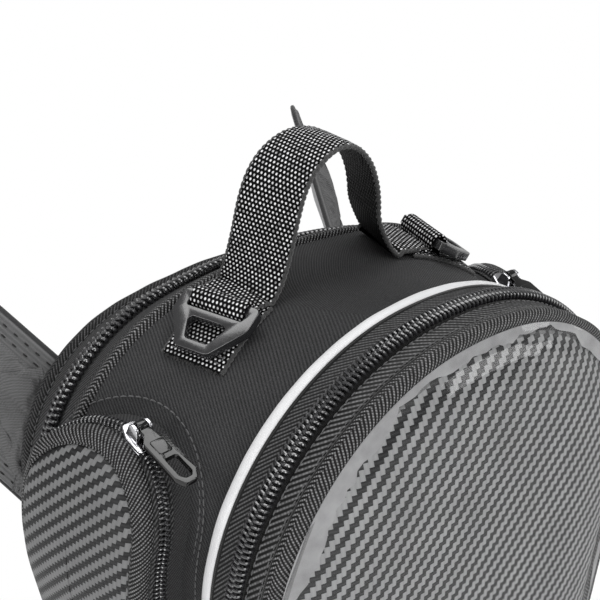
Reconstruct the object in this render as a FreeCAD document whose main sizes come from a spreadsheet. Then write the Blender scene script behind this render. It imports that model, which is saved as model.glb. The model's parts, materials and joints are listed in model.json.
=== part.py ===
import FreeCAD, Part
import Sketcher
import math
import os
import re
from FreeCAD import Vector, Rotation, Placement

# Motorcycle tank bag, built as a parametric document.
# Frame: X across the bag, -Y to the clear lid, +Y to the tank side, Z up the standing bag.
# The floor that the bag stands on is z = 0, and x = 0 is its plane of symmetry.

doc = FreeCAD.newDocument("tank_bag")

# ---------------------------------------------------------------- driving sizes, in mm
SIZES = [
    # outline of the body at its tank side, at its shoulder and at its front edge
    ("rear_y", 44.0, "tank side of the body"),
    ("rear_half_width", 94.5, "half width there"),
    ("rear_top", 285.0, "crown height there"),
    ("rear_crown_radius", 240.0, "crown arc"),
    ("rear_side_radius", 58.0, "shoulder arc"),
    ("rear_foot_half", 60.0, "half width of the foot"),
    ("rear_foot_radius", 30.0, "foot corner arc"),
    ("ridge_y", 2.0, "ridge between rear band and wall"),
    ("ridge_half_width", 103.5, "half width there"),
    ("ridge_top", 305.5, "crown height there"),
    ("ridge_crown_radius", 220.0, "crown arc"),
    ("ridge_side_radius", 72.0, "shoulder arc"),
    ("ridge_foot_half", 68.0, "half width of the foot"),
    ("ridge_foot_radius", 34.0, "foot corner arc"),
    ("front_y", -63.0, "front edge of the wall"),
    ("front_half_width", 85.2, "half width there"),
    ("front_top", 304.8, "crown height there"),
    ("front_crown_radius", 130.0, "crown arc"),
    ("front_side_radius", 81.0, "shoulder arc"),
    ("front_foot_half", 62.0, "half width of the foot"),
    ("front_foot_radius", 36.0, "foot corner arc"),
    ("lid_rise", 6.6, "how far the lid's rim stands proud of the wall"),
    # layers of the wall
    ("skin", 1.5, "outer fabric"),
    ("foam", 4.0, "foam sheet"),
    ("lining", 0.8, "inner lining"),
    ("foot_trim", 0.02, "cut off under the wall, which leaves it a flat foot"),
    ("play", 0.3, "clearance between bodies"),
    # front rim, from the wall to the lid's face
    ("piping_wide", 4.5, "reflective piping"),
    ("piping_sunk", 3.2, "piping below the rim"),
    ("tape_outer_wide", 9.5, "front tape on the body"),
    ("tape_sunk", 1.2, "tape below the rim"),
    ("tape_thick", 2.8, "tape with its seam"),
    ("chain_wide", 5.6, "front zip chain"),
    ("chain_proud", 1.5, "chain above the rim"),
    ("tape_inner_wide", 8.0, "front tape on the lid"),
    ("lid_binding_wide", 5.5, "woven binding of the lid"),
    ("lid_binding_deep", 7.0, "binding, inwards from the rim"),
    ("front_zip_end", 44.0, "height where the front zip stops"),
    ("lid_board_thick", 3.0, "stiffener of the lid"),
    ("carbon_thick", 3.5, "panel under the window"),
    ("dome_step", 4.5, "bulge of the panel near its edge"),
    ("dome_rise", 8.0, "bulge of the panel at its middle"),
    ("dome_shoulder", 14.0, "inset of the first bulge"),
    ("dome_flat", 34.0, "inset of the middle of the bulge"),
    ("film_thick", 0.8, "clear window film"),
    # rear band
    ("rear_edge_wide", 6.5, "binding at the tank side edge"),
    ("ridge_binding_wide", 4.5, "binding on the ridge"),
    ("binding_proud", 1.5, "bindings above the fabric"),
    ("binding_deep", 4.0, "bindings, inwards"),
    ("rear_chain_y", 20.3, "middle of the rear chain"),
    ("rear_chain_wide", 8.0, "rear zip chain"),
    ("rear_chain_proud", 1.8, "chain above the fabric"),
    ("rear_tape_sunk", 0.4, "rear tape below the fabric line"),
    ("rear_tape_thick", 2.0, "rear tape"),
    ("rear_zip_end", 150.0, "height where the rear zip stops"),
    # tank side
    ("base_thick", 3.0, "tank side fabric panel"),
    ("board_thick", 3.0, "stiff board inside"),
    ("board_inset", 9.0, "board inside the outline"),
    ("pad_thick", 3.0, "grip pad"),
    ("pad_inset", 22.0, "grip pad inside the outline"),
    # carrying handle and its tabs
    ("webbing", 25.0, "webbing width"),
    ("webbing_thick", 2.0, "webbing thickness"),
    ("handle_y", -16.0, "middle of the handle"),
    ("handle_room", 0.9, "room under the handle's round ends"),
    ("tab_inner", 35.0, "tab start, from the middle"),
    ("tab_outer", 64.0, "tab end, from the middle"),
    ("tab_y", -20.0, "middle of the tabs and their rings"),
    ("tab_splay", 15.0, "how far the tabs turn towards the front"),
    ("strap_foot", 38.5, "strap end, from the middle"),
    ("strap_top", 352.0, "outside of the strap's loop"),
    ("strap_bend", 29.0, "radius of the loop"),
    # rings on their keepers
    ("ring_pivot_x", 46.5, "ring bar, from the middle"),
    ("ring_slope", 12.0, "ring against the wall at rest"),
    ("ring_wide", 31.0, "ring width"),
    ("ring_long", 20.0, "ring length past its bar"),
    ("ring_tip", 13.0, "ring width at its tip"),
    ("ring_bar", 3.6, "bar section and ring thickness"),
    ("ring_web", 3.4, "web between the slot and the hole"),
    ("ring_rim", 3.6, "rim around the hole"),
    ("keeper_wide", 22.4, "keeper webbing"),
    ("keeper_thick", 1.3, "keeper webbing thickness"),
    ("keeper_foot", 2.4, "half width of the keeper's sewn foot"),
    # zip sliders and their pulls
    ("slider_long", 13.0, "slider along the chain"),
    ("slider_wide", 9.0, "slider across the chain"),
    ("slider_nose", 5.0, "width of the slider's tail"),
    ("slider_thick", 1.6, "slider plate"),
    ("bridge_high", 4.6, "bridge pin above the chain"),
    ("cheek_thick", 1.4, "bridge cheek"),
    ("cheek_long", 3.4, "bridge along the chain"),
    ("pin_radius", 1.0, "bridge pin"),
    ("eye_radius", 2.2, "eye of the pull"),
    ("pull_long", 27.0, "pull length"),
    ("pull_wide", 8.5, "pull width"),
    ("pull_thick", 2.0, "pull thickness"),
    ("pull_neck", 3.6, "pull width in the bridge"),
    ("pull_hole", 2.6, "hole at the pull's end"),
    ("pull_end", 2.0, "rim beyond that hole"),
    ("front_slider_angle", 80.0, "front slider, from the top"),
    ("rear_slider_angle", 52.0, "rear slider, from the top"),
    ("pocket_slider_angle", 17.0, "pocket slider, from the top"),
    ("bend_room", 0.8, "room under a straight slider on a bend"),
    # side pockets
    ("pocket_y", -21.0, "middle of the pocket"),
    ("pocket_radius", 29.5, "top arc of the gusset"),
    ("pocket_arc_z", 244.0, "height of the arc's centre"),
    ("pocket_foot_z", 108.0, "foot of the pocket"),
    ("pocket_foot_radius", 16.0, "foot corners"),
    ("gusset_thick", 2.0, "gusset fabric"),
    ("pocket_chain_proud", 1.0, "pocket chain above its gusset"),
    ("pocket_binding_proud", 1.6, "pocket binding above its gusset"),
    ("pocket_binding_deep", 4.0, "pocket binding, inwards"),
    ("panel_thick", 2.5, "carbon panel of the pocket"),
    ("gusset_rear", 1.6, "gusset depth at the tank side"),
    ("gusset_ridge", 4.4, "gusset depth at the ridge"),
    ("gusset_front", 7.0, "gusset depth at the front"),
    ("chain_rear", 2.4, "chain middle depth at the tank side"),
    ("chain_ridge", 7.0, "chain middle depth at the ridge"),
    ("chain_front", 11.0, "chain middle depth at the front"),
    ("binding_rear", 3.2, "binding start depth at the tank side"),
    ("binding_ridge", 9.4, "binding start depth at the ridge"),
    ("binding_front", 15.0, "binding start depth at the front"),
    ("pocket_rear", 6.0, "pocket depth at the tank side"),
    ("pocket_ridge", 13.5, "pocket depth at the ridge"),
    ("pocket_front", 20.0, "pocket depth at the front"),
    # magnet wings
    ("wing_root", 58.0, "wing along its seam"),
    ("wing_long", 74.0, "wing length"),
    ("wing_corner", 16.0, "outer corners of the wing"),
    ("wing_cover", 4.5, "padded cover"),
    ("wing_lining", 1.5, "inner lining of the wing"),
    ("magnet_radius", 11.0, "magnet"),
    ("magnet_thick", 2.5, "magnet thickness"),
    ("magnet_out", 48.0, "magnets, from the seam"),
    ("magnet_low", 17.0, "lower magnet, along the seam"),
    ("magnet_high", 41.0, "upper magnet, along the seam"),
    ("right_wing_x", 92.0, "upper right seam's foot, across"),
    ("right_wing_z", 214.0, "upper right seam's foot, height"),
    ("right_wing_lean", 24.0, "upper right seam, leaning inwards"),
    ("right_wing_flare", 42.0, "how far the upper right wing leans along its seam"),
    ("right_wing_back", 55.0, "how far the upper right wing points backwards"),
    ("left_wing_x", 94.0, "upper left seam's foot, across"),
    ("left_wing_z", 205.0, "upper left seam's foot, height"),
    ("left_wing_lean", 20.0, "upper left seam, leaning inwards"),
    ("left_wing_flare", 28.0, "how far the upper left wing leans along its seam"),
    ("left_wing_back", 60.0, "how far the upper left wing points backwards"),
    ("lower_wing_x", 63.5, "lower seams' foot, across"),
    ("lower_wing_z", 62.0, "lower seams' foot, height"),
    ("lower_wing_lean", -10.3, "lower seams, leaning outwards"),
    ("lower_wing_flare", 18.0, "how far the lower wings lean along their seams"),
    ("lower_wing_back", 60.0, "how far the lower wings point backwards"),
    ("reach", 400.0, "half size of the boxes that only trim"),
]
NAMES = [row[0] for row in SIZES]

sheet = doc.addObject("Spreadsheet::Sheet", "Sizes")
for row_number, (alias, number, meaning) in enumerate(SIZES, 1):
    sheet.set("A%d" % row_number, meaning)
    sheet.set("B%d" % row_number, str(number))
    sheet.setAlias("B%d" % row_number, alias)
doc.recompute()


def size(alias):
    """The value of one named size."""
    return float(getattr(sheet, alias))


def formula(text):
    """An expression on the sheet, from a formula that uses the plain names."""
    return re.sub(r"[a-z_]+", lambda word: "Sizes." + word.group()
                  if word.group() in NAMES else word.group(), text)


def bind(thing, **formulas):
    """Bind properties to formulas; a double underscore stands for a dot."""
    for name, text in formulas.items():
        thing.setExpression(name.replace("__", "."), formula(text))
    return thing


# ---------------------------------------------------------------- outlines and shells
def upright(sketch):
    """Stand a sketch up, so that its own Y is the model's Z and it faces -Y."""
    sketch.Placement = Placement(Vector(0, 0, 0), Rotation(Vector(1, 0, 0), 90))


def total(text):
    """The number that a plain sum of products, such as "-skin - foam", gives now."""
    result = 0.0
    for sign, term in re.findall(r"([+-]?)\s*([^+-]+)", text):
        product = 1.0
        for factor in term.split("*"):
            word = factor.strip()
            product *= size(word) if word in NAMES else float(word)
        result += -product if sign == "-" else product
    return result


def outline_geometry(station, rise, amount):
    """Arcs and lines of one outline: crown, shoulders, sides, foot corners and foot."""
    crown, side, foot = [size(station + name) + rise for name in
                         ("_crown_radius", "_side_radius", "_foot_radius")]
    crown_z = size(station + "_top") + rise - crown
    side_x = size(station + "_half_width") + rise - side
    side_z = crown_z + math.sqrt((crown - side) ** 2 - side_x ** 2)
    foot_x = size(station + "_foot_half") + rise - foot
    run_x, run_z = foot_x - side_x, foot - side_z
    swing = math.atan2(run_z, run_x) + math.acos((side - foot) / math.hypot(run_x, run_z))
    join = math.atan2(side_z - crown_z, side_x)
    turn = math.pi

    def arc(x, z, radius, start, end):
        circle = Part.Circle(Vector(x, z, 0), Vector(0, 0, 1), radius + amount)
        return Part.ArcOfCircle(circle, start, end)

    def on(x, z, radius, angle):
        reach = radius + amount
        return Vector(x + reach * math.cos(angle), z + reach * math.sin(angle), 0)

    return [
        arc(0, crown_z, crown, join, turn - join),
        arc(side_x, side_z, side, swing, join),
        Part.LineSegment(on(foot_x, foot, foot, swing), on(side_x, side_z, side, swing)),
        arc(foot_x, foot, foot, -turn / 2, swing),
        Part.LineSegment(Vector(-foot_x, -amount, 0), Vector(foot_x, -amount, 0)),
        arc(-foot_x, foot, foot, turn - swing, 1.5 * turn),
        Part.LineSegment(on(-side_x, side_z, side, turn - swing),
                         on(-foot_x, foot, foot, turn - swing)),
        arc(-side_x, side_z, side, turn - join, turn - swing),
    ]


OUTLINES = {}


def outline(station, amount="0", place=None, rise="0"):
    """One station's outline as a sketch, its edge moved outwards by a sum of sizes.

    A rise makes the outline larger all round except at its foot, which stays on the floor.
    """
    place = place or station + "_y"
    key = (station, amount, place, rise)
    if key in OUTLINES:
        return OUTLINES[key]
    sketch = doc.addObject("Sketcher::SketchObject", station.capitalize() + "Outline")
    upright(sketch)
    bind(sketch, Placement__Base__y=place)
    sketch.addGeometry(outline_geometry(station, total(rise), total(amount)), False)
    start, end, centre = 1, 2, 3
    for edge in range(8):
        sketch.addConstraint(Sketcher.Constraint("Tangent", edge, start, (edge + 1) % 8, end))
    sketch.addConstraint(Sketcher.Constraint("PointOnObject", 0, centre, -2))
    grown = " + " + rise + (" " if amount.startswith("-") else " + ") + amount
    crown_up = "%s_top - %s_crown_radius" % (station, station)
    across = "%s_half_width - %s_side_radius" % (station, station)
    foot_across = "%s_foot_half - %s_foot_radius" % (station, station)
    foot_up = station + "_foot_radius + " + rise
    for label, kind, places, text in (
            ("crown_radius", "Radius", (0,), station + "_crown_radius" + grown),
            ("crown_height", "DistanceY", (-1, 1, 0, centre), crown_up),
            ("side_radius", "Radius", (1,), station + "_side_radius" + grown),
            ("side_radius_left", "Radius", (7,), station + "_side_radius" + grown),
            ("side_across", "DistanceX", (-1, 1, 1, centre), across),
            ("side_across_left", "DistanceX", (7, centre, -1, 1), across),
            ("foot_radius", "Radius", (3,), station + "_foot_radius" + grown),
            ("foot_radius_left", "Radius", (5,), station + "_foot_radius" + grown),
            ("foot_across", "DistanceX", (-1, 1, 3, centre), foot_across),
            ("foot_across_left", "DistanceX", (5, centre, -1, 1), foot_across),
            ("foot_height", "DistanceY", (-1, 1, 3, centre), foot_up),
            ("foot_height_left", "DistanceY", (-1, 1, 5, centre), foot_up)):
        number = total(text)
        index = sketch.addConstraint(Sketcher.Constraint(kind, *places, number))
        sketch.renameConstraint(index, label)
        sketch.setExpression("Constraints." + label, formula(text))
    OUTLINES[key] = sketch
    return sketch


def loft(sections):
    """A straight-sided solid through outlines of the same kind."""
    solid = doc.addObject("Part::Loft", "Loft")
    solid.Sections = sections
    solid.Solid = True
    solid.Ruled = True
    return solid


def extrusion(section, direction, depth, back="0"):
    """A straight solid from a closed outline."""
    solid = doc.addObject("Part::Extrusion", "Extrusion")
    solid.Base = section
    solid.DirMode = "Custom"
    solid.Dir = direction
    solid.Solid = True
    return bind(solid, LengthFwd=depth, LengthRev=back)


def trim_box(x=("-reach", "reach"), y=("-reach", "reach"), z=("-reach", "reach")):
    """A box between formulas, used to trim other solids."""
    solid = doc.addObject("Part::Box", "Trim")
    return bind(solid, Length="(%s) - (%s)" % (x[1], x[0]), Width="(%s) - (%s)" % (y[1], y[0]),
                Height="(%s) - (%s)" % (z[1], z[0]), Placement__Base__x=x[0],
                Placement__Base__y=y[0], Placement__Base__z=z[0])


def cut(base, tool):
    solid = doc.addObject("Part::Cut", "Cut")
    solid.Base, solid.Tool = base, tool
    return solid


def common(*shapes):
    solid = doc.addObject("Part::MultiCommon", "Common")
    solid.Shapes = list(shapes)
    return solid


def fuse(*shapes):
    solid = doc.addObject("Part::MultiFuse", "Fuse")
    solid.Shapes = list(shapes)
    return solid


def mirrored(source):
    """The same piece on the other side of the bag."""
    other = doc.addObject("Part::Mirroring", "Mirrored")
    other.Source = source
    other.Base = Vector(0, 0, 0)
    other.Normal = Vector(1, 0, 0)
    return other


def pair(source):
    """Both pieces of a mirrored pair as one node."""
    both = doc.addObject("Part::Compound", "Pair")
    both.Links = [source, mirrored(source)]
    return both


NODES = {}


def node(name, thing):
    """Name a finished sub-part; its label is also its file's name."""
    thing.Label = name
    NODES[name] = thing
    return thing


def hull(rear_amount, ridge_amount=None, front_amount=None):
    """The body's solid, its surface moved outwards by a sum of sizes."""
    return loft([outline("rear", rear_amount), outline("ridge", ridge_amount or rear_amount),
                 outline("front", front_amount or rear_amount)])


def band(amount):
    """The slanted rear band alone, from the tank side to the ridge."""
    return loft([outline("rear", amount), outline("ridge", amount)])


def rim_solid(amount):
    """A straight solid with the lid's outline, all the way past the lid."""
    return extrusion(outline("front", amount, rise="lid_rise"), Vector(0, -1, 0), "reach")


# ---------------------------------------------------------------- walls of the body
layers = ["0", "-skin", "-skin - foam", "-skin - foam - lining"]
hulls = [hull(amount) for amount in layers]
walled = fuse(trim_box(y=("front_y", "ridge_y - ridge_binding_wide / 2"),
                       z=("foot_trim", "reach")),
              trim_box(y=("front_y", "rear_y - rear_edge_wide"), z=("foot_trim", "rear_zip_end")))
for name, outer, inner in zip(("main_wall", "wall_foam", "inner_lining"), hulls, hulls[1:]):
    node(name, common(cut(outer, inner), walled))

# ---------------------------------------------------------------- rear band and tank side
above_floor = ("0", "reach")
zipped = ("rear_zip_end", "reach")


def band_ring(outer, inner, y, z):
    return common(cut(band(outer), band(inner)), trim_box(y=y, z=z))


ridge_ring = common(cut(hull("binding_proud"), hull("-binding_deep")),
                    trim_box(y=("ridge_y - ridge_binding_wide / 2",
                                "ridge_y + ridge_binding_wide / 2"), z=zipped))
node("ridge_binding", ridge_ring)
chain_low = "rear_chain_y - rear_chain_wide / 2"
chain_high = "rear_chain_y + rear_chain_wide / 2"
tape = ("-rear_tape_sunk", "-rear_tape_sunk - rear_tape_thick")
node("rear_tape_front", band_ring(*tape, ("ridge_y + ridge_binding_wide / 2", chain_low), zipped))
node("rear_tape_back", band_ring(*tape, (chain_high, "rear_y - rear_edge_wide"), zipped))
chain = ("rear_chain_proud", "-rear_tape_thick")
node("rear_chain_front", band_ring(*chain, (chain_low, "rear_chain_y - play / 2"), zipped))
node("rear_chain_back", band_ring(*chain, ("rear_chain_y + play / 2", chain_high), zipped))
node("rear_edge_binding", band_ring("binding_proud", "-binding_deep",
                                    ("rear_y - rear_edge_wide", "rear_y"), above_floor))
node("base_panel", common(band("-binding_deep"),
                          trim_box(y=("rear_y - base_thick", "rear_y"))))
node("back_board", common(band("-board_inset"),
                          trim_box(y=("rear_y - base_thick - board_thick",
                                      "rear_y - base_thick"))))
node("grip_pad", extrusion(outline("rear", "-pad_inset"), Vector(0, 1, 0), "pad_thick"))

# ---------------------------------------------------------------- front rim and lid
piping_end = "front_y - piping_wide"
tape_outer_end = "front_y - piping_wide - tape_outer_wide"
chain_middle = tape_outer_end + " - 0.5 * chain_wide"
chain_end = tape_outer_end + " - chain_wide"
tape_inner_end = chain_end + " - tape_inner_wide"
lid_face = tape_inner_end + " - lid_binding_wide"


def rim_ring(outer, inner, y_low, y_high, z=above_floor):
    return common(cut(rim_solid(outer), rim_solid(inner)), trim_box(y=(y_low, y_high), z=z))


front_tape = ("-tape_sunk", "-tape_sunk - tape_thick")
front_chain = ("chain_proud", "-tape_sunk - tape_thick")
zip_open = ("front_zip_end", "reach")
node("reflective_piping", rim_ring("-piping_sunk", "-lid_rise - skin - foam - lining",
                                   piping_end, "front_y"))
node("front_tape_outer", rim_ring(*front_tape, tape_outer_end, piping_end))
node("front_chain_outer", rim_ring(*front_chain, chain_middle + " + play / 2", tape_outer_end,
                                   zip_open))
node("lid_hinge_strip", rim_ring(*front_tape, chain_end + " + play", tape_outer_end,
                                 ("0", "front_zip_end - play")))
node("front_chain_inner", rim_ring(*front_chain, chain_end, chain_middle + " - play / 2",
                                   zip_open))
node("front_tape_inner", rim_ring(*front_tape, tape_inner_end, chain_end))
node("lid_binding", rim_ring("0", "-lid_binding_deep", lid_face, tape_inner_end))
node("lid_board", common(rim_solid("-tape_sunk - tape_thick"),
                         trim_box(y=(tape_inner_end, tape_inner_end + " + lid_board_thick"))))


def bulge(lift):
    """The padded bulge of the lid's face; lift is the thickness laid over it."""
    base = tape_inner_end + " - carbon_thick"
    steps = (("-lid_binding_deep", ""), ("-dome_shoulder", " - dome_step"),
             ("-dome_flat", " - dome_rise"))
    return loft([outline("front", inset, base + step + lift, "lid_rise")
                 for inset, step in steps])


panel_plate = common(rim_solid("-lid_binding_deep"),
                     trim_box(y=(tape_inner_end + " - carbon_thick", tape_inner_end)))
panel_bulge = bulge("")
film_plate = common(rim_solid("-lid_binding_deep"),
                    trim_box(y=(tape_inner_end + " - carbon_thick - film_thick",
                                tape_inner_end + " - carbon_thick")))
carbon_panel = node("carbon_panel", fuse(panel_plate, panel_bulge))
node("map_window", cut(fuse(film_plate, bulge(" - film_thick")), bulge("")))

# ---------------------------------------------------------------- places on the wall
def between(first, second, share):
    return first + (second - first) * share


def shoulder(y, depth=("0", "0", "0")):
    """Centre and radius of the shoulder arc at one y, the wall grown by three depths."""
    if y > size("ridge_y"):
        stations, depths = ("rear", "ridge"), depth[:2]
    else:
        stations, depths = ("ridge", "front"), depth[1:]
    ends = []
    for station, grown in zip(stations, depths):
        crown, side = size(station + "_crown_radius"), size(station + "_side_radius")
        side_x = size(station + "_half_width") - side
        crown_z = size(station + "_top") - crown
        side_z = crown_z + math.sqrt((crown - side) ** 2 - side_x ** 2)
        ends.append((size(station + "_y"), side_x, side_z, side + total(grown), crown_z, crown))
    share = (ends[0][0] - y) / (ends[0][0] - ends[1][0])
    return [between(low, high, share) for low, high in zip(*ends)][1:]


def wall_height(x, y):
    """Height of the wall's shoulder above one x and y."""
    side_x, side_z, radius = shoulder(y)[:3]
    return side_z + math.sqrt(radius ** 2 - (x - side_x) ** 2)


def frame_at(origin, along, outward):
    """A placement with its X along a direction and its Z outwards."""
    across = outward.cross(along).normalize()
    return Placement(origin, Rotation(along, across, outward, "ZXY"))


def seat(x, y):
    """A placement on the wall: X down the arch, Y along the bag, Z out of the wall."""
    step = 0.5
    down = Vector(2 * step, 0, wall_height(x + step, y) - wall_height(x - step, y)).normalize()
    back = Vector(0, 2 * step, wall_height(x, y + step) - wall_height(x, y - step)).normalize()
    return frame_at(Vector(x, y, wall_height(x, y)), down, down.cross(back).normalize())


# ---------------------------------------------------------------- sketched bodies
def new_body(name):
    return doc.addObject("PartDesign::Body", name)


def profile(body, role, corners, holes=()):
    """A sketch on the body's own plane: a closed polygon, and round holes in it."""
    sketch = body.newObject("Sketcher::SketchObject", "Profile")
    plane = [item for item in body.Origin.OriginFeatures if item.Role == role][0]
    sketch.AttachmentSupport = [(plane, "")]
    sketch.MapMode = "FlatFace"
    spots = [Vector(total(across), total(up), 0) for across, up in corners]
    count = len(corners)
    for index in range(count):
        sketch.addGeometry(Part.LineSegment(spots[index], spots[(index + 1) % count]), False)
    for index in range(count):
        sketch.addConstraint(Sketcher.Constraint("Coincident", index, 2, (index + 1) % count, 1))

    def pin_down(edge, point, across, up):
        for kind, text in (("DistanceX", across), ("DistanceY", up)):
            constraint = Sketcher.Constraint(kind, -1, 1, edge, point, total(text))
            number = sketch.addConstraint(constraint)
            sketch.setExpression("Constraints[%d]" % number, formula(text))

    for index, (across, up) in enumerate(corners):
        pin_down(index, 1, across, up)
    for index, (across, up, radius) in enumerate(holes, count):
        circle = Part.Circle(Vector(total(across), total(up), 0), Vector(0, 0, 1), total(radius))
        sketch.addGeometry(circle, False)
        pin_down(index, 3, across, up)
        number = sketch.addConstraint(Sketcher.Constraint("Radius", index, total(radius)))
        sketch.setExpression("Constraints[%d]" % number, formula(radius))
    return sketch


def pad(body, sketch, thickness, middle=False):
    """The sketch grown into a plate, on one side or equally on both."""
    plate = body.newObject("PartDesign::Pad", "Pad")
    plate.Profile = sketch
    plate.Midplane = middle
    bind(plate, Length=thickness)
    body.Tip = plate
    return plate


def rounded(body, base, radius, wanted):
    """Fillets on the edges of a feature that the test picks."""
    doc.recompute()
    edges = ["Edge%d" % number for number, edge in enumerate(base.Shape.Edges, 1) if wanted(edge)]
    fillet = body.newObject("PartDesign::Fillet", "Fillet")
    fillet.Base = (base, edges)
    bind(fillet, Radius=radius)
    body.Tip = fillet
    return fillet


def cylinder(radius, length, direction, centre=Vector(0, 0, 0)):
    """A round bar centred on a point, its axis along a direction."""
    bar = doc.addObject("Part::Cylinder", "Bar")
    bind(bar, Radius=radius, Height=length)
    half = total(length) / 2
    bar.Placement = Placement(centre - direction * half, Rotation(Vector(0, 0, 1), direction))
    return bar


def placed(thing, placement):
    thing.Placement = placement
    return thing


ALONG, ACROSS, OUT = Vector(1, 0, 0), Vector(0, 1, 0), Vector(0, 0, 1)

# ---------------------------------------------------------------- carrying handle
half_webbing = "0.5 * webbing"
handle_span = ("handle_y - 0.5 * webbing", "handle_y + 0.5 * webbing")
tab_turn = Rotation(OUT, -size("tab_splay"))
tab_box = doc.addObject("Part::Compound", "TabBox")
tab_box.Links = [trim_box(x=("tab_inner - ring_pivot_x", "tab_outer - ring_pivot_x"),
                          y=("-" + half_webbing, half_webbing), z=zipped)]
placed(tab_box, Placement(Vector(size("ring_pivot_x"), size("tab_y"), 0), tab_turn))
tab = common(cut(hull("webbing_thick"), hull("0")), tab_box)
node("handle_tabs", pair(tab))

tab_top = wall_height(size("strap_foot"), size("handle_y")) + size("webbing_thick")
strap_low = tab_top + size("handle_room")
strap = new_body("Strap")
loop = strap.newObject("Sketcher::SketchObject", "Loop")
upright_plane = [item for item in strap.Origin.OriginFeatures if item.Role == "XZ_Plane"][0]
loop.AttachmentSupport = [(upright_plane, "")]
loop.MapMode = "FlatFace"
bend, thick, foot_x = size("strap_bend"), size("webbing_thick"), size("strap_foot")
rise = size("strap_top") - strap_low
bend_z = rise - bend
leaning = math.atan2(-bend_z, foot_x) + math.acos(bend / math.hypot(foot_x, bend_z))
outwards = Vector(math.cos(leaning), math.sin(leaning), 0)
foot = Vector(foot_x, 0, 0)
middle = Vector(0, bend_z, 0)


def other_side(point):
    return Vector(-point.x, point.y, 0)


def bent(radius):
    circle = Part.Circle(middle, Vector(0, 0, 1), radius)
    return Part.ArcOfCircle(circle, leaning, math.pi - leaning)


top_out, top_in = middle + outwards * bend, middle + outwards * (bend - thick)
foot_in = foot - outwards * thick
loop.addGeometry([
    bent(bend), Part.LineSegment(top_out, foot), Part.LineSegment(foot, foot_in),
    Part.LineSegment(foot_in, top_in), bent(bend - thick),
    Part.LineSegment(other_side(top_in), other_side(foot_in)),
    Part.LineSegment(other_side(foot_in), other_side(foot)),
    Part.LineSegment(other_side(foot), other_side(top_out))], False)
for first, first_point, second, second_point in (
        (0, 1, 1, 1), (3, 2, 4, 1), (4, 2, 5, 1), (7, 2, 0, 2)):
    loop.addConstraint(Sketcher.Constraint("Tangent", first, first_point, second, second_point))
for first, second in ((1, 2), (2, 3), (5, 6), (6, 7)):
    loop.addConstraint(Sketcher.Constraint("Coincident", first, 2, second, 1))
for kind, places in (("Coincident", (0, 3, 4, 3)), ("PointOnObject", (0, 3, -2)),
                     ("Parallel", (1, 3)), ("Parallel", (5, 7)),
                     ("Perpendicular", (1, 2)), ("Perpendicular", (5, 6))):
    loop.addConstraint(Sketcher.Constraint(kind, *places))
for kind, places, number, text in (
        ("DistanceY", (-1, 1, 0, 3), bend_z, None),
        ("Radius", (0,), bend, "strap_bend"),
        ("Radius", (4,), bend - thick, "strap_bend - webbing_thick"),
        ("DistanceX", (-1, 1, 1, 2), foot_x, "strap_foot"),
        ("DistanceX", (7, 1, -1, 1), foot_x, "strap_foot"),
        ("PointOnObject", (1, 2, -1), None, None),
        ("PointOnObject", (7, 1, -1), None, None)):
    places = places if number is None else places + (number,)
    index = loop.addConstraint(Sketcher.Constraint(kind, *places))
    if text:
        loop.setExpression("Constraints[%d]" % index, formula(text))
pad(strap, loop, "webbing", middle=True)
strap.Placement = Placement(Vector(0, size("handle_y"), strap_low), Rotation())
pivot = Vector(0, size("handle_y"), strap_low + size("webbing") / 2)
round_end = cylinder(half_webbing, "reach", ALONG, pivot)
upper = trim_box(y=handle_span, z=("0", "reach"))
upper.setExpression("Placement.Base.z", None)
upper.Placement.Base.z = pivot.z
node("handle_strap", common(strap, fuse(round_end, upper)))

# ---------------------------------------------------------------- rings on their keepers
ring_seat = seat(size("ring_pivot_x"), size("tab_y")).multiply(Placement(Vector(), tab_turn))
bore = "0.5 * ring_bar * 1.42 + play"
sleeve = bore + " + keeper_thick"
bar_height = total(sleeve) + size("webbing_thick")
bar_place = ring_seat.multiply(Placement(OUT * bar_height, Rotation()))
sleeve_body = fuse(cylinder(sleeve, "keeper_wide", ACROSS),
                   trim_box(x=("-keeper_foot", "keeper_foot"),
                            y=("-0.5 * keeper_wide", "0.5 * keeper_wide"), z=("-10", "0")))
keeper = placed(cut(sleeve_body, cylinder(bore, "2 * keeper_wide", ACROSS)), bar_place)
node("ring_keepers", pair(cut(keeper, hull("webbing_thick"))))

ring = new_body("Ring")
slot_end = sleeve + " + play"
ring_frame = profile(ring, "XY_Plane", [
    ("-0.5 * ring_bar", "-0.5 * ring_wide"), ("ring_bar * 2", "-0.5 * ring_wide"),
    ("ring_long", "-0.5 * ring_tip"), ("ring_long", "0.5 * ring_tip"),
    ("ring_bar * 2", "0.5 * ring_wide"), ("-0.5 * ring_bar", "0.5 * ring_wide")])
ring_plate = pad(ring, ring_frame, "ring_bar", middle=True)


def pocketed(body, corners):
    """An opening through the whole plate."""
    hole = body.newObject("PartDesign::Pocket", "Opening")
    hole.Profile = profile(body, "XY_Plane", corners)
    hole.Type = "ThroughAll"
    hole.Midplane = True
    body.Tip = hole
    return hole


pocketed(ring, [("0.5 * ring_bar", "-0.5 * keeper_wide - play"),
                (slot_end, "-0.5 * keeper_wide - play"),
                (slot_end, "0.5 * keeper_wide + play"),
                ("0.5 * ring_bar", "0.5 * keeper_wide + play")])
hole_start = slot_end + " + ring_web"
pocketed(ring, [(hole_start, "-0.5 * ring_wide + 2 * ring_rim"),
                ("ring_long - ring_rim", "-0.5 * ring_tip + 0.5 * ring_rim"),
                ("ring_long - ring_rim", "0.5 * ring_tip - 0.5 * ring_rim"),
                (hole_start, "0.5 * ring_wide - 2 * ring_rim")])
ring_place = bar_place.multiply(Placement(Vector(), Rotation(ACROSS, size("ring_slope"))))
node("d_ring_right", placed(ring, ring_place))
node("d_ring_left", mirrored(ring))


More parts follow.
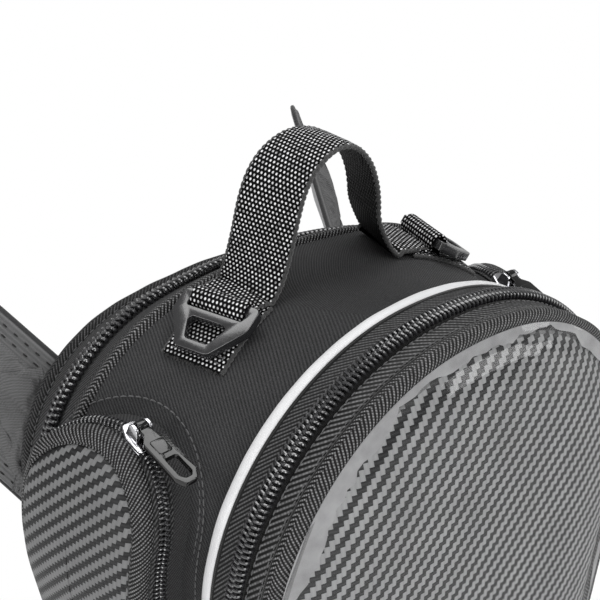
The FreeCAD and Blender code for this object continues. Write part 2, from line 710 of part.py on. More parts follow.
# ---------------------------------------------------------------- sliders and pulls
def slider_at(place):
    """A slider's plate, bridge cheeks and pin, on the chain's surface at a placement."""
    body = new_body("Slider")
    outline_points = [
        ("-0.5 * slider_long", "-0.5 * slider_nose"), ("0", "-0.5 * slider_wide"),
        ("0.5 * slider_long", "-0.5 * slider_wide"), ("0.5 * slider_long", "0.5 * slider_wide"),
        ("0", "0.5 * slider_wide"), ("-0.5 * slider_long", "0.5 * slider_nose")]
    pad(body, profile(body, "XY_Plane", outline_points), "slider_thick")
    cheeks = []
    for low, high in (("0.5 * pull_neck + play", "0.5 * pull_neck + play + cheek_thick"),
                      ("-0.5 * pull_neck - play - cheek_thick", "-0.5 * pull_neck - play")):
        cheeks.append(trim_box(x=("-0.5 * cheek_long", "0.5 * cheek_long"), y=(low, high),
                               z=("0.5 * slider_thick", "bridge_high + pin_radius")))
    pin = cylinder("pin_radius", "pull_neck + 2 * play + cheek_thick", ACROSS,
                   OUT * size("bridge_high"))
    return placed(fuse(body, pin, *cheeks), place)


def pull_at(place):
    """A pull with its eye on the slider's pin and a hole near its far end."""
    body = new_body("Pull")
    points = [("0", "-0.5 * pull_neck"), ("cheek_long", "-0.5 * pull_neck"),
              ("cheek_long + 0.5 * pull_neck", "-0.5 * pull_wide"),
              ("pull_long - pull_end", "-0.5 * pull_wide"), ("pull_long", "-0.25 * pull_wide"),
              ("pull_long", "0.25 * pull_wide"), ("pull_long - pull_end", "0.5 * pull_wide"),
              ("cheek_long + 0.5 * pull_neck", "0.5 * pull_wide"),
              ("cheek_long", "0.5 * pull_neck"), ("0", "0.5 * pull_neck")]
    hole = ("pull_long - pull_hole - pull_end", "0", "pull_hole")
    pad(body, profile(body, "XY_Plane", points, [hole]), "pull_thick", middle=True)
    eye = cylinder("eye_radius", "pull_neck", ACROSS)
    bored = cut(fuse(body, eye), cylinder("pin_radius + play", "pull_wide", ACROSS))
    lift = Placement(OUT * size("bridge_high"), Rotation())
    return placed(bored, place.multiply(lift))


def with_slider(name, place):
    node(name + "_slider", slider_at(place))
    node(name + "_puller", pull_at(place))


def turned(angle):
    """Outward and clockwise directions, seen from the front, at an angle from the top."""
    swing = math.radians(angle)
    return (Vector(math.sin(swing), 0, math.cos(swing)),
            Vector(math.cos(swing), 0, -math.sin(swing)))


radial, clockwise = turned(size("front_slider_angle"))
side_x, side_z, side_radius = shoulder(size("front_y"))[:3]
track = side_radius + total("lid_rise + chain_proud + play")
front_place = Vector(side_x, total(chain_middle), side_z) + radial * track
with_slider("front", frame_at(front_place, clockwise, radial))


def on_shoulder(y, radial):
    """The point of the wall's shoulder that faces a direction, at one y."""
    side_x, side_z, radius = shoulder(y)[:3]
    return Vector(side_x, y, side_z) + radial * radius


radial, clockwise = turned(size("rear_slider_angle"))
on_band = on_shoulder(size("rear_chain_y"), radial)
across_band = on_band - on_shoulder(size("ridge_y"), radial)
tilted = clockwise.cross(across_band).normalize()
with_slider("rear", frame_at(on_band + tilted * total("rear_chain_proud + play"),
                             clockwise, tilted))

# ---------------------------------------------------------------- side pockets
DEPTHS = {name: tuple(name + "_" + station for station in ("rear", "ridge", "front"))
          for name in ("gusset", "chain", "binding", "pocket")}


def moon(amount):
    """The pocket's shape seen from the side, moved outwards, as a solid across the bag."""
    sketch = doc.addObject("Sketcher::SketchObject", "Moon")
    sketch.Placement = Placement(Vector(), Rotation(Vector(1, 1, 1), 120))
    grow = total(amount)
    top, foot_radius = size("pocket_radius") + grow, size("pocket_foot_radius") + grow
    centre_y, centre_z = size("pocket_y"), size("pocket_arc_z")
    inset = size("pocket_radius") - size("pocket_foot_radius")
    foot_z = size("pocket_foot_z") + size("pocket_foot_radius")

    def arc(y, z, radius, start, end):
        circle = Part.Circle(Vector(y, z, 0), Vector(0, 0, 1), radius)
        return Part.ArcOfCircle(circle, start, end)

    turn = math.pi
    low_z, left, right = foot_z - foot_radius, centre_y - inset, centre_y + inset
    sketch.addGeometry([
        arc(centre_y, centre_z, top, 0, turn),
        Part.LineSegment(Vector(centre_y - top, centre_z, 0), Vector(centre_y - top, foot_z, 0)),
        arc(left, foot_z, foot_radius, turn, 1.5 * turn),
        Part.LineSegment(Vector(left, low_z, 0), Vector(right, low_z, 0)),
        arc(right, foot_z, foot_radius, 1.5 * turn, 2 * turn),
        Part.LineSegment(Vector(centre_y + top, foot_z, 0),
                         Vector(centre_y + top, centre_z, 0))], False)
    for first, first_point, second, second_point in (
            (0, 2, 1, 1), (1, 2, 2, 1), (2, 2, 3, 1), (3, 2, 4, 1), (4, 2, 5, 1), (5, 2, 0, 1)):
        sketch.addConstraint(Sketcher.Constraint("Tangent", first, first_point,
                                                 second, second_point))
    grown = (" " if amount.startswith("-") else " + ") + amount
    foot_up = "pocket_foot_z + pocket_foot_radius"
    for kind, places, text in (
            ("DistanceX", (-1, 1, 0, 3), "pocket_y"),
            ("DistanceY", (-1, 1, 0, 3), "pocket_arc_z"),
            ("Radius", (0,), "pocket_radius" + grown),
            ("Radius", (2,), "pocket_foot_radius" + grown),
            ("Radius", (4,), "pocket_foot_radius" + grown),
            ("DistanceY", (-1, 1, 2, 3), foot_up),
            ("DistanceY", (-1, 1, 4, 3), foot_up)):
        index = sketch.addConstraint(Sketcher.Constraint(kind, *places, total(text)))
        sketch.setExpression("Constraints[%d]" % index, formula(text))
    return extrusion(sketch, Vector(1, 0, 0), "reach")


def grown_hull(name, extra=""):
    """The wall grown outwards by one of the pocket's depths."""
    return hull(*[depth + extra for depth in DEPTHS[name]])


def pocket_layer(outer_moon, inner_moon, high, low):
    """The part of a pocket's rim that lies between two grown walls."""
    return common(cut(moon(outer_moon), moon(inner_moon)), cut(high, low))


gusset_rim = ("0", "-gusset_thick")
chain_rim = ("pocket_chain_proud", "-gusset_thick")
pocket_pieces = {
    "gusset": cut(pocket_layer(*gusset_rim, grown_hull("gusset"), hull("0")), ridge_ring),
    "zip_outer": pocket_layer(*chain_rim, grown_hull("chain", " - 0.5 * play"),
                              grown_hull("gusset")),
    "zip_inner": pocket_layer(*chain_rim, grown_hull("binding"),
                              grown_hull("chain", " + 0.5 * play")),
    "binding": pocket_layer("pocket_binding_proud", "-pocket_binding_deep",
                            grown_hull("pocket"), grown_hull("binding")),
    "panel": common(moon("-pocket_binding_deep"), cut(grown_hull("pocket"),
                                                      grown_hull("pocket", " - panel_thick"))),
}
for piece, solid in pocket_pieces.items():
    node("pocket_right_" + piece, solid)
    node("pocket_left_" + piece, mirrored(solid))


def chain_point(angle):
    """A point on the pocket's chain, its angle from the top towards the front."""
    swing = math.radians(angle)
    run = size("pocket_radius") + size("pocket_chain_proud")
    y = size("pocket_y") - run * math.sin(swing)
    z = size("pocket_arc_z") + run * math.cos(swing)
    arc_x, arc_z, radius = shoulder(y, DEPTHS["chain"])[:3]
    return Vector(arc_x + math.sqrt(radius ** 2 - (z - arc_z) ** 2), y, z)


slider_angle = size("pocket_slider_angle")
swing = math.radians(slider_angle)
outwards = Vector(0, -math.sin(swing), math.cos(swing))
forwards = (chain_point(slider_angle + 1) - chain_point(slider_angle - 1)).normalize()
outwards = (outwards - forwards * outwards.dot(forwards)).normalize()
lifted = chain_point(slider_angle) + outwards * total("play + bend_room")
pocket_slider_place = frame_at(lifted, forwards, outwards)
with_slider("pocket_right", pocket_slider_place)
for piece in ("slider", "puller"):
    node("pocket_left_" + piece, mirrored(NODES["pocket_right_" + piece]))


# ---------------------------------------------------------------- magnet wings
def wing_plate(place, low, thickness, flare):
    """One layer of a wing: a leaning plate with round outer corners."""
    body = new_body("WingLayer")
    points = [("0", "0"), ("wing_root", "0"), ("wing_root + " + flare, "wing_long"),
              (flare, "wing_long")]
    plate = pad(body, profile(body, "XY_Plane", points), thickness)
    far = size("wing_long") / 2
    rounded(body, plate, "wing_corner",
            lambda edge: edge.BoundBox.YMin > far and edge.BoundBox.ZLength > size("play"))
    return placed(body, place.multiply(Placement(OUT * low, Rotation())))


def wing(seam):
    """A right wing's layers: magnets between its padded cover and its lining."""
    tilt = math.radians(size(seam + "_wing_lean"))
    up = Vector(-math.sin(tilt), 0, math.cos(tilt))
    side = Vector(math.cos(tilt), 0, math.sin(tilt))
    backwards = math.radians(size(seam + "_wing_back"))
    away = side * math.cos(backwards) + Vector(0, 1, 0) * math.sin(backwards)
    root = Vector(size(seam + "_wing_x"), size("rear_y") + size("play"), size(seam + "_wing_z"))
    place = frame_at(root, up, up.cross(away).normalize())
    sunk = size("wing_cover") - size("magnet_thick")
    flare = seam + "_wing_flare"
    discs = []
    for along in ("magnet_low", "magnet_high"):
        lean = size(flare) * size("magnet_out") / size("wing_long")
        centre = Vector(size(along) + lean, size("magnet_out"), sunk)
        disc = cylinder("magnet_radius", "magnet_thick", OUT)
        discs.append(placed(disc, place.multiply(Placement(centre, Rotation()))))
    magnets = doc.addObject("Part::Compound", "Magnets")
    magnets.Links = discs
    return {"cover": cut(wing_plate(place, 0, "wing_cover", flare), fuse(*discs)),
            "lining": wing_plate(place, size("wing_cover"), "wing_lining", flare),
            "magnets": magnets}


lower_wing = wing("lower")
for row, side, layers in (("upper", "right", wing("right")), ("upper", "left", wing("left")),
                          ("lower", "right", lower_wing), ("lower", "left", lower_wing)):
    for layer, solid in layers.items():
        label = "wing_" + row + "_" + side + "_" + layer
        node(label, solid if side == "right" else mirrored(solid))

# ---------------------------------------------------------------- finished sub-parts
doc.recompute()
faults = [item.Name for item in doc.Objects if "Invalid" in item.State or "Error" in item.State]
for name, thing in NODES.items():
    if thing.Shape.isNull() or not thing.Shape.isValid() or not thing.Shape.Solids:
        faults.append(name)
if faults:
    raise RuntimeError("these did not build: " + ", ".join(faults))
os.makedirs("parts", exist_ok=True)
for name, thing in NODES.items():
    thing.Shape.exportStep("parts/" + name + ".step")
    print("%-24s %3d solids %10.1f mm3" % (name, len(thing.Shape.Solids), thing.Shape.Volume))
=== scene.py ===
import json
import math
from collections import namedtuple

import bmesh
import bpy
import numpy as np
from bpy.props import FloatProperty, FloatVectorProperty, IntProperty, PointerProperty
from mathutils import Matrix, Vector, geometry, noise


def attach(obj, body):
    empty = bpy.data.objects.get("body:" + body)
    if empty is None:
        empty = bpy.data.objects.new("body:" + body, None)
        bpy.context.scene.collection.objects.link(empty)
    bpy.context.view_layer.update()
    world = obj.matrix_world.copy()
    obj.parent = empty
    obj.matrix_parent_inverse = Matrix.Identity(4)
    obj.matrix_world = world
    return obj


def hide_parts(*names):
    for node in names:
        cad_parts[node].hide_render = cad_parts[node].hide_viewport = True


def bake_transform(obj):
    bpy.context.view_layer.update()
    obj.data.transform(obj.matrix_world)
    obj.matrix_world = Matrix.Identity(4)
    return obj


bl_info = {
    "name": "Tank Bag",
    "version": (1, 0, 0),
    "blender": (4, 5, 0),
    "location": "View3D > Sidebar > Tank Bag",
    "description": "Builds a zipped motorcycle tank bag around its packed frame",
    "category": "Object",
}

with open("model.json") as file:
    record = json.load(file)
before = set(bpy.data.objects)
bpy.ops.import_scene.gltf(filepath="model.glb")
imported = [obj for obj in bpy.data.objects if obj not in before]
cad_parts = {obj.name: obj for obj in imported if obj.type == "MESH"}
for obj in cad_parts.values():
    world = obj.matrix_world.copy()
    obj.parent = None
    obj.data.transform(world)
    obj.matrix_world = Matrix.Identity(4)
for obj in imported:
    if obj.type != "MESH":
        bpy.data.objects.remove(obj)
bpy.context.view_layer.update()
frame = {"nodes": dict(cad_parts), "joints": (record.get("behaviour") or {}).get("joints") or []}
JOINTS = {joint["name"]: joint for joint in frame["joints"]}
MM = 0.001
TURN = 2 * math.pi
CLOTH_CREASE, HARD_CREASE = 45.0, 30.0

# ---------------------------------------------------------------- the shell's outlines
Station = namedtuple("Station", "y half_width top crown side foot_half foot")


def station(*millimetres):
    """One outline of the shell, from sizes in millimetres."""
    return Station(*(MM * value for value in millimetres))


# the rear edge, the ridge under the handle and the front edge
REAR = station(44.0, 94.5, 285.0, 240.0, 58.0, 60.0, 30.0)
RIDGE = station(2.0, 103.5, 305.5, 220.0, 72.0, 68.0, 34.0)
FRONT = station(-63.0, 85.2, 304.8, 130.0, 81.0, 62.0, 36.0)
LID_RISE = 6.6 * MM
ZIP_END = {"rear": 150 * MM, "front": 44 * MM}
ARC_STEPS, CORNER_STEPS, FOOT_STEPS = 40, 16, 8

# where each strip lies along the bag, from the rear edge to the lid's face
REAR_EDGE_Y = 40.75 * MM
REAR_SEAMS_Y = (5.6 * MM, 36.4 * MM)
REAR_TAPE_FAR_Y, REAR_TAPE_NEAR_Y = 30.9 * MM, 10.3 * MM
REAR_CHAIN_Y = 20.3 * MM
PIPING_Y, FRONT_SHADE_STRIP_Y, FRONT_TAPE_Y = -65.25 * MM, -68.3 * MM, -72.25 * MM
FRONT_CHAIN_Y = -79.8 * MM
LID_EDGE_Y = -90.6 * MM
LID_BINDING_Y = -93.35 * MM
LID_FACE_Y = -94.1 * MM

# pocket layers as distances above the wall, at the rear, at the ridge and at the front
Depth = namedtuple("Depth", "rear ridge front")
WALL = Depth(0.0, 0.0, 0.0)
GUSSET = Depth(1.6 * MM, 4.4 * MM, 7.0 * MM)
CHAIN = Depth(2.4 * MM, 7.0 * MM, 11.0 * MM)
BINDING = Depth(3.2 * MM, 9.4 * MM, 15.0 * MM)
POCKET = Depth(6.0 * MM, 13.5 * MM, 20.0 * MM)


def between(low, high, share):
    """The value at a share of the way from low to high."""
    return low + (high - low) * share


def layer(low, high, share, extra=0.0):
    """A depth between two pocket layers, plus a fixed height in millimetres."""
    return Depth(*(between(a, b, share) + extra * MM for a, b in zip(low, high)))


def half_outline(place, lift=0.0, rise=0.0):
    """One side of an outline from the middle of its foot to the middle of its crown."""
    crown_z = place.top - place.crown
    side_x = place.half_width - place.side
    side_z = crown_z + math.sqrt((place.crown - place.side) ** 2 - side_x ** 2)
    foot_x = place.foot_half - place.foot
    crown, side, foot = (radius + rise for radius in (place.crown, place.side, place.foot))
    run_x, run_z = foot_x - side_x, foot - side_z
    swing = math.atan2(run_z, run_x) + math.acos((side - foot) / math.hypot(run_x, run_z))
    join = math.atan2(side_z - crown_z, side_x)

    def arc(x, z, radius, start, end, steps=ARC_STEPS):
        turn = np.linspace(start, end, steps + 1)
        reach = radius + lift
        return np.column_stack((x + reach * np.cos(turn), z + reach * np.sin(turn)))

    corner = arc(foot_x, foot, foot, -math.pi / 2, swing, CORNER_STEPS)
    shoulder = arc(side_x, side_z, side, swing, join)
    crown_arc = arc(0.0, crown_z, crown, join, math.pi / 2)
    flat = np.linspace((0.0, -lift), corner[0], FOOT_STEPS + 1)[:-1]
    straight = np.linspace(corner[-1], shoulder[0], ARC_STEPS + 1)[1:-1]
    return np.concatenate((flat, corner, straight, shoulder, crown_arc[1:]))


def half_at(y, depth=WALL, rise=0.0):
    """One side of the shell's outline at one y, raised by a depth."""
    if rise or y <= FRONT.y:
        return half_outline(FRONT, depth.front, rise)
    if y > RIDGE.y:
        low, high, low_lift, high_lift = RIDGE, REAR, depth.ridge, depth.rear
    else:
        low, high, low_lift, high_lift = FRONT, RIDGE, depth.front, depth.ridge
    share = (y - low.y) / (high.y - low.y)
    return between(half_outline(low, low_lift), half_outline(high, high_lift), share)


def ring_at(y, depth=WALL, rise=0.0):
    """The closed outline at one y, from its foot up the right side and down the left."""
    half = half_at(y, depth, rise)
    left = half[::-1][1:-1] * (-1, 1)
    flat = np.concatenate((half, left))
    return np.column_stack((flat[:, 0], np.full(len(flat), y), flat[:, 1]))


def wall_x(y, z, depth=WALL):
    """How far out the raised wall is at one y and height."""
    half = half_at(y, depth)
    return float(np.interp(z, half[:, 1], half[:, 0]))


def wall_z(x, y, depth=WALL):
    """How high the raised wall's top is at one x and y."""
    half = half_at(y, depth)
    upper = half[np.argmax(half[:, 0]):][::-1]
    return float(np.interp(abs(x), upper[:, 0], upper[:, 1]))


def unit(vectors):
    """The same directions, each one long."""
    vectors = np.asarray(vectors, dtype=float)
    size = np.linalg.norm(vectors, axis=-1, keepdims=True)
    return vectors / np.maximum(size, 1e-12)


# ---------------------------------------------------------------- tracks along the shell
class Track:
    """Evenly spaced points along a line, each with a direction across it and one outwards."""

    def __init__(self, points, across, spacing, closed=False):
        points = np.asarray(points, dtype=float)
        across = np.asarray(across, dtype=float)
        if closed:
            points = np.concatenate((points, points[:1]))
            across = np.concatenate((across, across[:1]))
        steps = np.linalg.norm(np.diff(points, axis=0), axis=1)
        run = np.concatenate(([0.0], np.cumsum(steps)))
        self.closed, self.length = closed, run[-1]
        self._run, self._points, self._across = run, points, across
        count = max(3, int(round(self.length / spacing)) + 1)
        self.run = np.linspace(0.0, self.length, count)
        if closed:
            self.run = self.run[:-1]
        self.points, self.along, self.across, self.out = self.at(self.run)

    def at(self, run):
        """Points and directions at distances along the track."""
        run = np.mod(run, self.length) if self.closed else np.clip(run, 0.0, self.length)

        def read(values, where):
            return np.column_stack([np.interp(where, self._run, values[:, k]) for k in range(3)])

        step = 0.4 * MM
        if self.closed:
            before, after = np.mod(run - step, self.length), np.mod(run + step, self.length)
        else:
            before, after = np.maximum(run - step, 0.0), np.minimum(run + step, self.length)
        along = unit(read(self._points, after) - read(self._points, before))
        across = read(self._across, run)
        across = unit(across - along * np.sum(across * along, axis=1, keepdims=True))
        return read(self._points, run), along, across, np.cross(across, along)


def shell_track(y, depth=WALL, rise=0.0, low=None, spacing=2 * MM):
    """A track round the shell at one y: closed, or open above a height."""
    ring = ring_at(y, depth, rise)
    if rise:
        across = np.tile((0.0, 1.0, 0.0), (len(ring), 1))
    else:
        step = 0.5 * MM if y + 0.5 * MM <= REAR.y else -0.5 * MM
        across = unit((ring_at(y + step, depth) - ring) / step)
    if low is None:
        return Track(ring, across, spacing, closed=True)
    keep = ring[:, 2] >= low
    return Track(ring[keep], across[keep], spacing)


def rounded(corners, radius, steps=4):
    """A closed polygon with round corners, each corner's radius kept inside its edges."""
    corners = [np.array(corner, dtype=float) for corner in corners]
    radii = radius if isinstance(radius, (list, tuple)) else [radius] * len(corners)
    outline = []
    for index, corner in enumerate(corners):
        before = unit(corners[index - 1] - corner)
        after = unit(corners[(index + 1) % len(corners)] - corner)
        half = math.acos(float(np.clip(np.dot(before, after), -1.0, 1.0))) / 2
        shortest = min(np.linalg.norm(corners[index - 1] - corner),
                       np.linalg.norm(corners[(index + 1) % len(corners)] - corner))
        pull = min(radii[index] / math.tan(half), 0.49 * shortest)
        bend = pull * math.tan(half)
        centre = corner + unit(before + after) * bend / math.sin(half)
        start, end = corner + before * pull - centre, corner + after * pull - centre
        angle = math.atan2(start[1], start[0])
        sweep = math.atan2(start[0] * end[1] - start[1] * end[0], float(np.dot(start, end)))
        for share in np.linspace(0.0, 1.0, steps + 1):
            turn = angle + sweep * share
            outline.append(centre + bend * np.array((math.cos(turn), math.sin(turn))))
    return np.array(outline)


# ---------------------------------------------------------------- meshes
def smoothed(mesh, crease):
    """Smooth faces, with creases where they meet at more than an angle in degrees."""
    mesh.polygons.foreach_set("use_smooth", [True] * len(mesh.polygons))
    mesh.set_sharp_from_angle(angle=math.radians(crease))
    return mesh


def build_mesh(name, points, faces, uvs=None):
    """A mesh whose faces point outwards, with a UV for each face's corner."""
    mesh = bpy.data.meshes.new(name)
    mesh.from_pydata(np.asarray(points).tolist(), [], faces)
    if uvs is not None:
        cloth = mesh.uv_layers.new(name="UVMap")
        cloth.data.foreach_set("uv", np.asarray(uvs, dtype=np.float32).ravel())
    shape = bmesh.new()
    shape.from_mesh(mesh)
    bmesh.ops.recalc_face_normals(shape, faces=shape.faces)
    shape.to_mesh(mesh)
    shape.free()
    return smoothed(mesh, CLOTH_CREASE)


def grid(points, uvs, wrap_rows=False, wrap_columns=False, caps=False):
    """Faces and their UVs for a grid of points, which may close on itself both ways."""
    rows, columns = points.shape[:2]
    row = np.arange(rows if wrap_rows else rows - 1)[:, None]
    column = np.arange(columns if wrap_columns else columns - 1)[None, :]

    def vertex(i, j):
        return ((i % rows) * columns + j % columns).ravel()

    def place(i, j):
        return ((i + 0 * j) * uvs.shape[1] + j + 0 * i).ravel()

    corners = ((row, column), (row + 1, column), (row + 1, column + 1), (row, column + 1))
    faces = np.column_stack([vertex(i + 0 * j, j + 0 * i) for i, j in corners]).tolist()
    flat = uvs.reshape(-1, 2)
    face_uvs = flat[np.column_stack([place(i, j) for i, j in corners])].reshape(-1, 2)
    if caps:
        first = list(range(columns))
        last = [(rows - 1) * columns + j for j in range(columns)][::-1]
        faces += [first, last]
        face_uvs = np.concatenate((face_uvs, flat[:columns], flat[-columns:][:columns]))
    return points.reshape(-1, 3), faces, face_uvs


def swept_parts(track, section, wobble=0.0, base=0.0, ripple=70.0, seed=2.3):
    """A closed section carried along a track, a little uneven above its base height."""
    section = np.asarray(section, dtype=float) * MM
    bump = np.array([noise.noise(Vector((run * ripple, seed, 0.7))) for run in track.run])
    above = section[:, 1] > base * MM
    height = section[None, :, 1] + (bump * wobble * MM)[:, None] * above[None, :]
    points = (track.points[:, None, :] + track.across[:, None, :] * section[None, :, 0, None]
              + track.out[:, None, :] * height[:, :, None])
    points[:, :, 2] = np.maximum(points[:, :, 2], 0.0)
    around = np.concatenate((section, section[:1]))
    widths = np.concatenate(([0.0], np.cumsum(np.linalg.norm(np.diff(around, axis=0), axis=1))))
    run = np.append(track.run, track.length) if track.closed else track.run
    uvs = np.stack(np.meshgrid(run, widths, indexing="ij"), axis=-1)
    return grid(points, uvs, track.closed, True, caps=not track.closed)


def tube_parts(points, guide, radius, sides=8, closed=False):
    """A round wire along points; guide is any direction that isn't along it."""
    points = np.asarray(points, dtype=float)
    if closed:
        ahead, behind = np.roll(points, -1, axis=0), np.roll(points, 1, axis=0)
    else:
        ahead = np.concatenate((points[1:], points[-1:]))
        behind = np.concatenate((points[:1], points[:-1]))
    along = unit(ahead - behind)
    first = unit(guide - along * np.sum(guide * along, axis=1, keepdims=True))
    second = np.cross(along, first)
    turn = np.arange(sides) / sides * TURN
    ring = (first[:, None, :] * np.cos(turn)[None, :, None]
            + second[:, None, :] * np.sin(turn)[None, :, None])
    surface = points[:, None, :] + ring * radius
    steps = np.linalg.norm(np.diff(points, axis=0), axis=1)
    run = np.concatenate(([0.0], np.cumsum(steps)))
    if closed:
        run = np.append(run, run[-1] + np.linalg.norm(points[0] - points[-1]))
    width = np.arange(sides + 1) / sides * TURN * radius
    uvs = np.stack(np.meshgrid(run, width, indexing="ij"), axis=-1)
    return grid(surface, uvs, closed, True, caps=not closed)


def merged(name, parts):
    """One mesh from several lists of points, faces and UVs."""
    points, faces, uvs, start = [], [], [], 0
    for part_points, part_faces, part_uvs in parts:
        points.append(part_points)
        faces += [[start + corner for corner in face] for face in part_faces]
        uvs.append(part_uvs)
        start += len(part_points)
    return build_mesh(name, np.concatenate(points), faces, np.concatenate(uvs))


def coil_parts(track, side, pitch, reach, high, base, wire, lap=0.5, sides=7, steps=16):
    """One half of a coil zip: a wire wound round an oval, its heads past the zip's middle."""
    turns = int(track.length / pitch) - 1
    phase = np.arange(turns * steps + 1) / steps * TURN
    offset = (0.25 + 0.5 * (side > 0)) * pitch
    centres, along, across, out = track.at(phase / TURN * pitch + offset)
    half = (reach + lap) * MM / 2
    swing, rise = np.cos(phase), np.sin(phase)
    oval = np.sign(swing) * np.abs(swing) ** 0.8
    sideways = side * (reach * MM - half + half * oval)
    height = (base + high / 2) * MM + high * MM / 2 * np.sign(rise) * np.abs(rise) ** 0.75
    points = centres + across * sideways[:, None] + out * height[:, None]
    points[:, 2] = np.maximum(points[:, 2], wire * MM)
    return tube_parts(points, along, wire * MM, sides)


def stitch_parts(track, across, out, pitch, long, thick, sides=6):
    """Sewing thread: short arched stitches along a track, sunk a little at their ends."""
    count = int(track.length / (pitch * MM))
    middles = (np.arange(count) + 0.5) * track.length / count
    shares = np.array((-1.0, -0.72, 0.0, 0.72, 1.0))
    widths = np.array((0.25, 0.85, 1.0, 0.85, 0.25)) * thick * MM / 2
    sink = np.array((-0.9, -0.15, 0.12, -0.15, -0.9)) * thick * MM / 2
    run = middles[:, None] + shares[None, :] * long * MM / 2
    centre, _, sideways, outwards = track.at(run.ravel())
    centre = (centre + sideways * across * MM
              + outwards * (out * MM + np.tile(sink, count)[:, None]))
    turn = np.arange(sides) / sides * TURN
    ring = (sideways[:, None, :] * np.cos(turn)[None, :, None]
            + outwards[:, None, :] * np.sin(turn)[None, :, None])
    points = centre[:, None, :] + ring * np.tile(widths, count)[:, None, None]
    points = points.reshape(count, len(shares), sides, 3)
    flat_uv = np.zeros((len(shares), sides + 1, 2))
    return [grid(stitch, flat_uv, False, True, caps=True) for stitch in points]


def plate_mesh(name, loops, thick, bevel):
    """A flat plate with holes, its edges rounded; lengths in millimetres, middle at z = 0."""
    flat = [[Vector((x * MM, y * MM, 0.0)) for x, y in loop] for loop in loops]
    corners = [point for loop in flat for point in loop]
    triangles = geometry.tessellate_polygon(flat)
    shape = bmesh.new()
    low = [shape.verts.new(point - Vector((0, 0, thick * MM / 2))) for point in corners]
    high = [shape.verts.new(point + Vector((0, 0, thick * MM / 2))) for point in corners]
    for a, b, c in triangles:
        shape.faces.new((high[a], high[b], high[c]))
        shape.faces.new((low[c], low[b], low[a]))
    start = 0
    for loop in flat:
        count = len(loop)
        for index in range(count):
            a, b = start + index, start + (index + 1) % count
            shape.faces.new((low[a], low[b], high[b], high[a]))
        start += count
    bmesh.ops.recalc_face_normals(shape, faces=shape.faces)
    bmesh.ops.dissolve_limit(shape, angle_limit=0.01, verts=shape.verts, edges=shape.edges)
    rims = [edge for edge in shape.edges if edge.calc_face_angle(0.0) > 1.0]
    bmesh.ops.bevel(shape, geom=rims, offset=bevel * MM, segments=3, profile=0.5,
                    affect="EDGES", clamp_overlap=True)
    mesh = bpy.data.meshes.new(name)
    shape.to_mesh(mesh)
    shape.free()
    return smoothed(mesh, HARD_CREASE)


def joined(name, placed_meshes):
    """One mesh from several, each moved by its own matrix."""
    shape = bmesh.new()
    for mesh, matrix in placed_meshes:
        copy = mesh.copy()
        copy.transform(matrix)
        shape.from_mesh(copy)
    result = bpy.data.meshes.new(name)
    shape.to_mesh(result)
    shape.free()
    return smoothed(result, HARD_CREASE)


def mirrored(mesh):
    """The same mesh on the other side of the bag."""
    copy = mesh.copy()
    copy.transform(Matrix.Scale(-1, 4, (1, 0, 0)))
    copy.flip_normals()
    return copy


def piece(name, mesh, look, body, nodes):
    """Show a mesh as a piece that stands for nodes; with no body, it is not attached to any."""
    made = bpy.data.objects.new(name, mesh)
    bpy.context.scene.collection.objects.link(made)
    mesh.materials.clear()
    mesh.materials.append(look)
    if body:
        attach(made, body)
    if nodes:
        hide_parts(*nodes)
    return made


# ---------------------------------------------------------------- finishes
# the sockets of a mix node that take and give a colour
COLOUR_LOW, COLOUR_HIGH, COLOUR_MIXED = 6, 7, 2


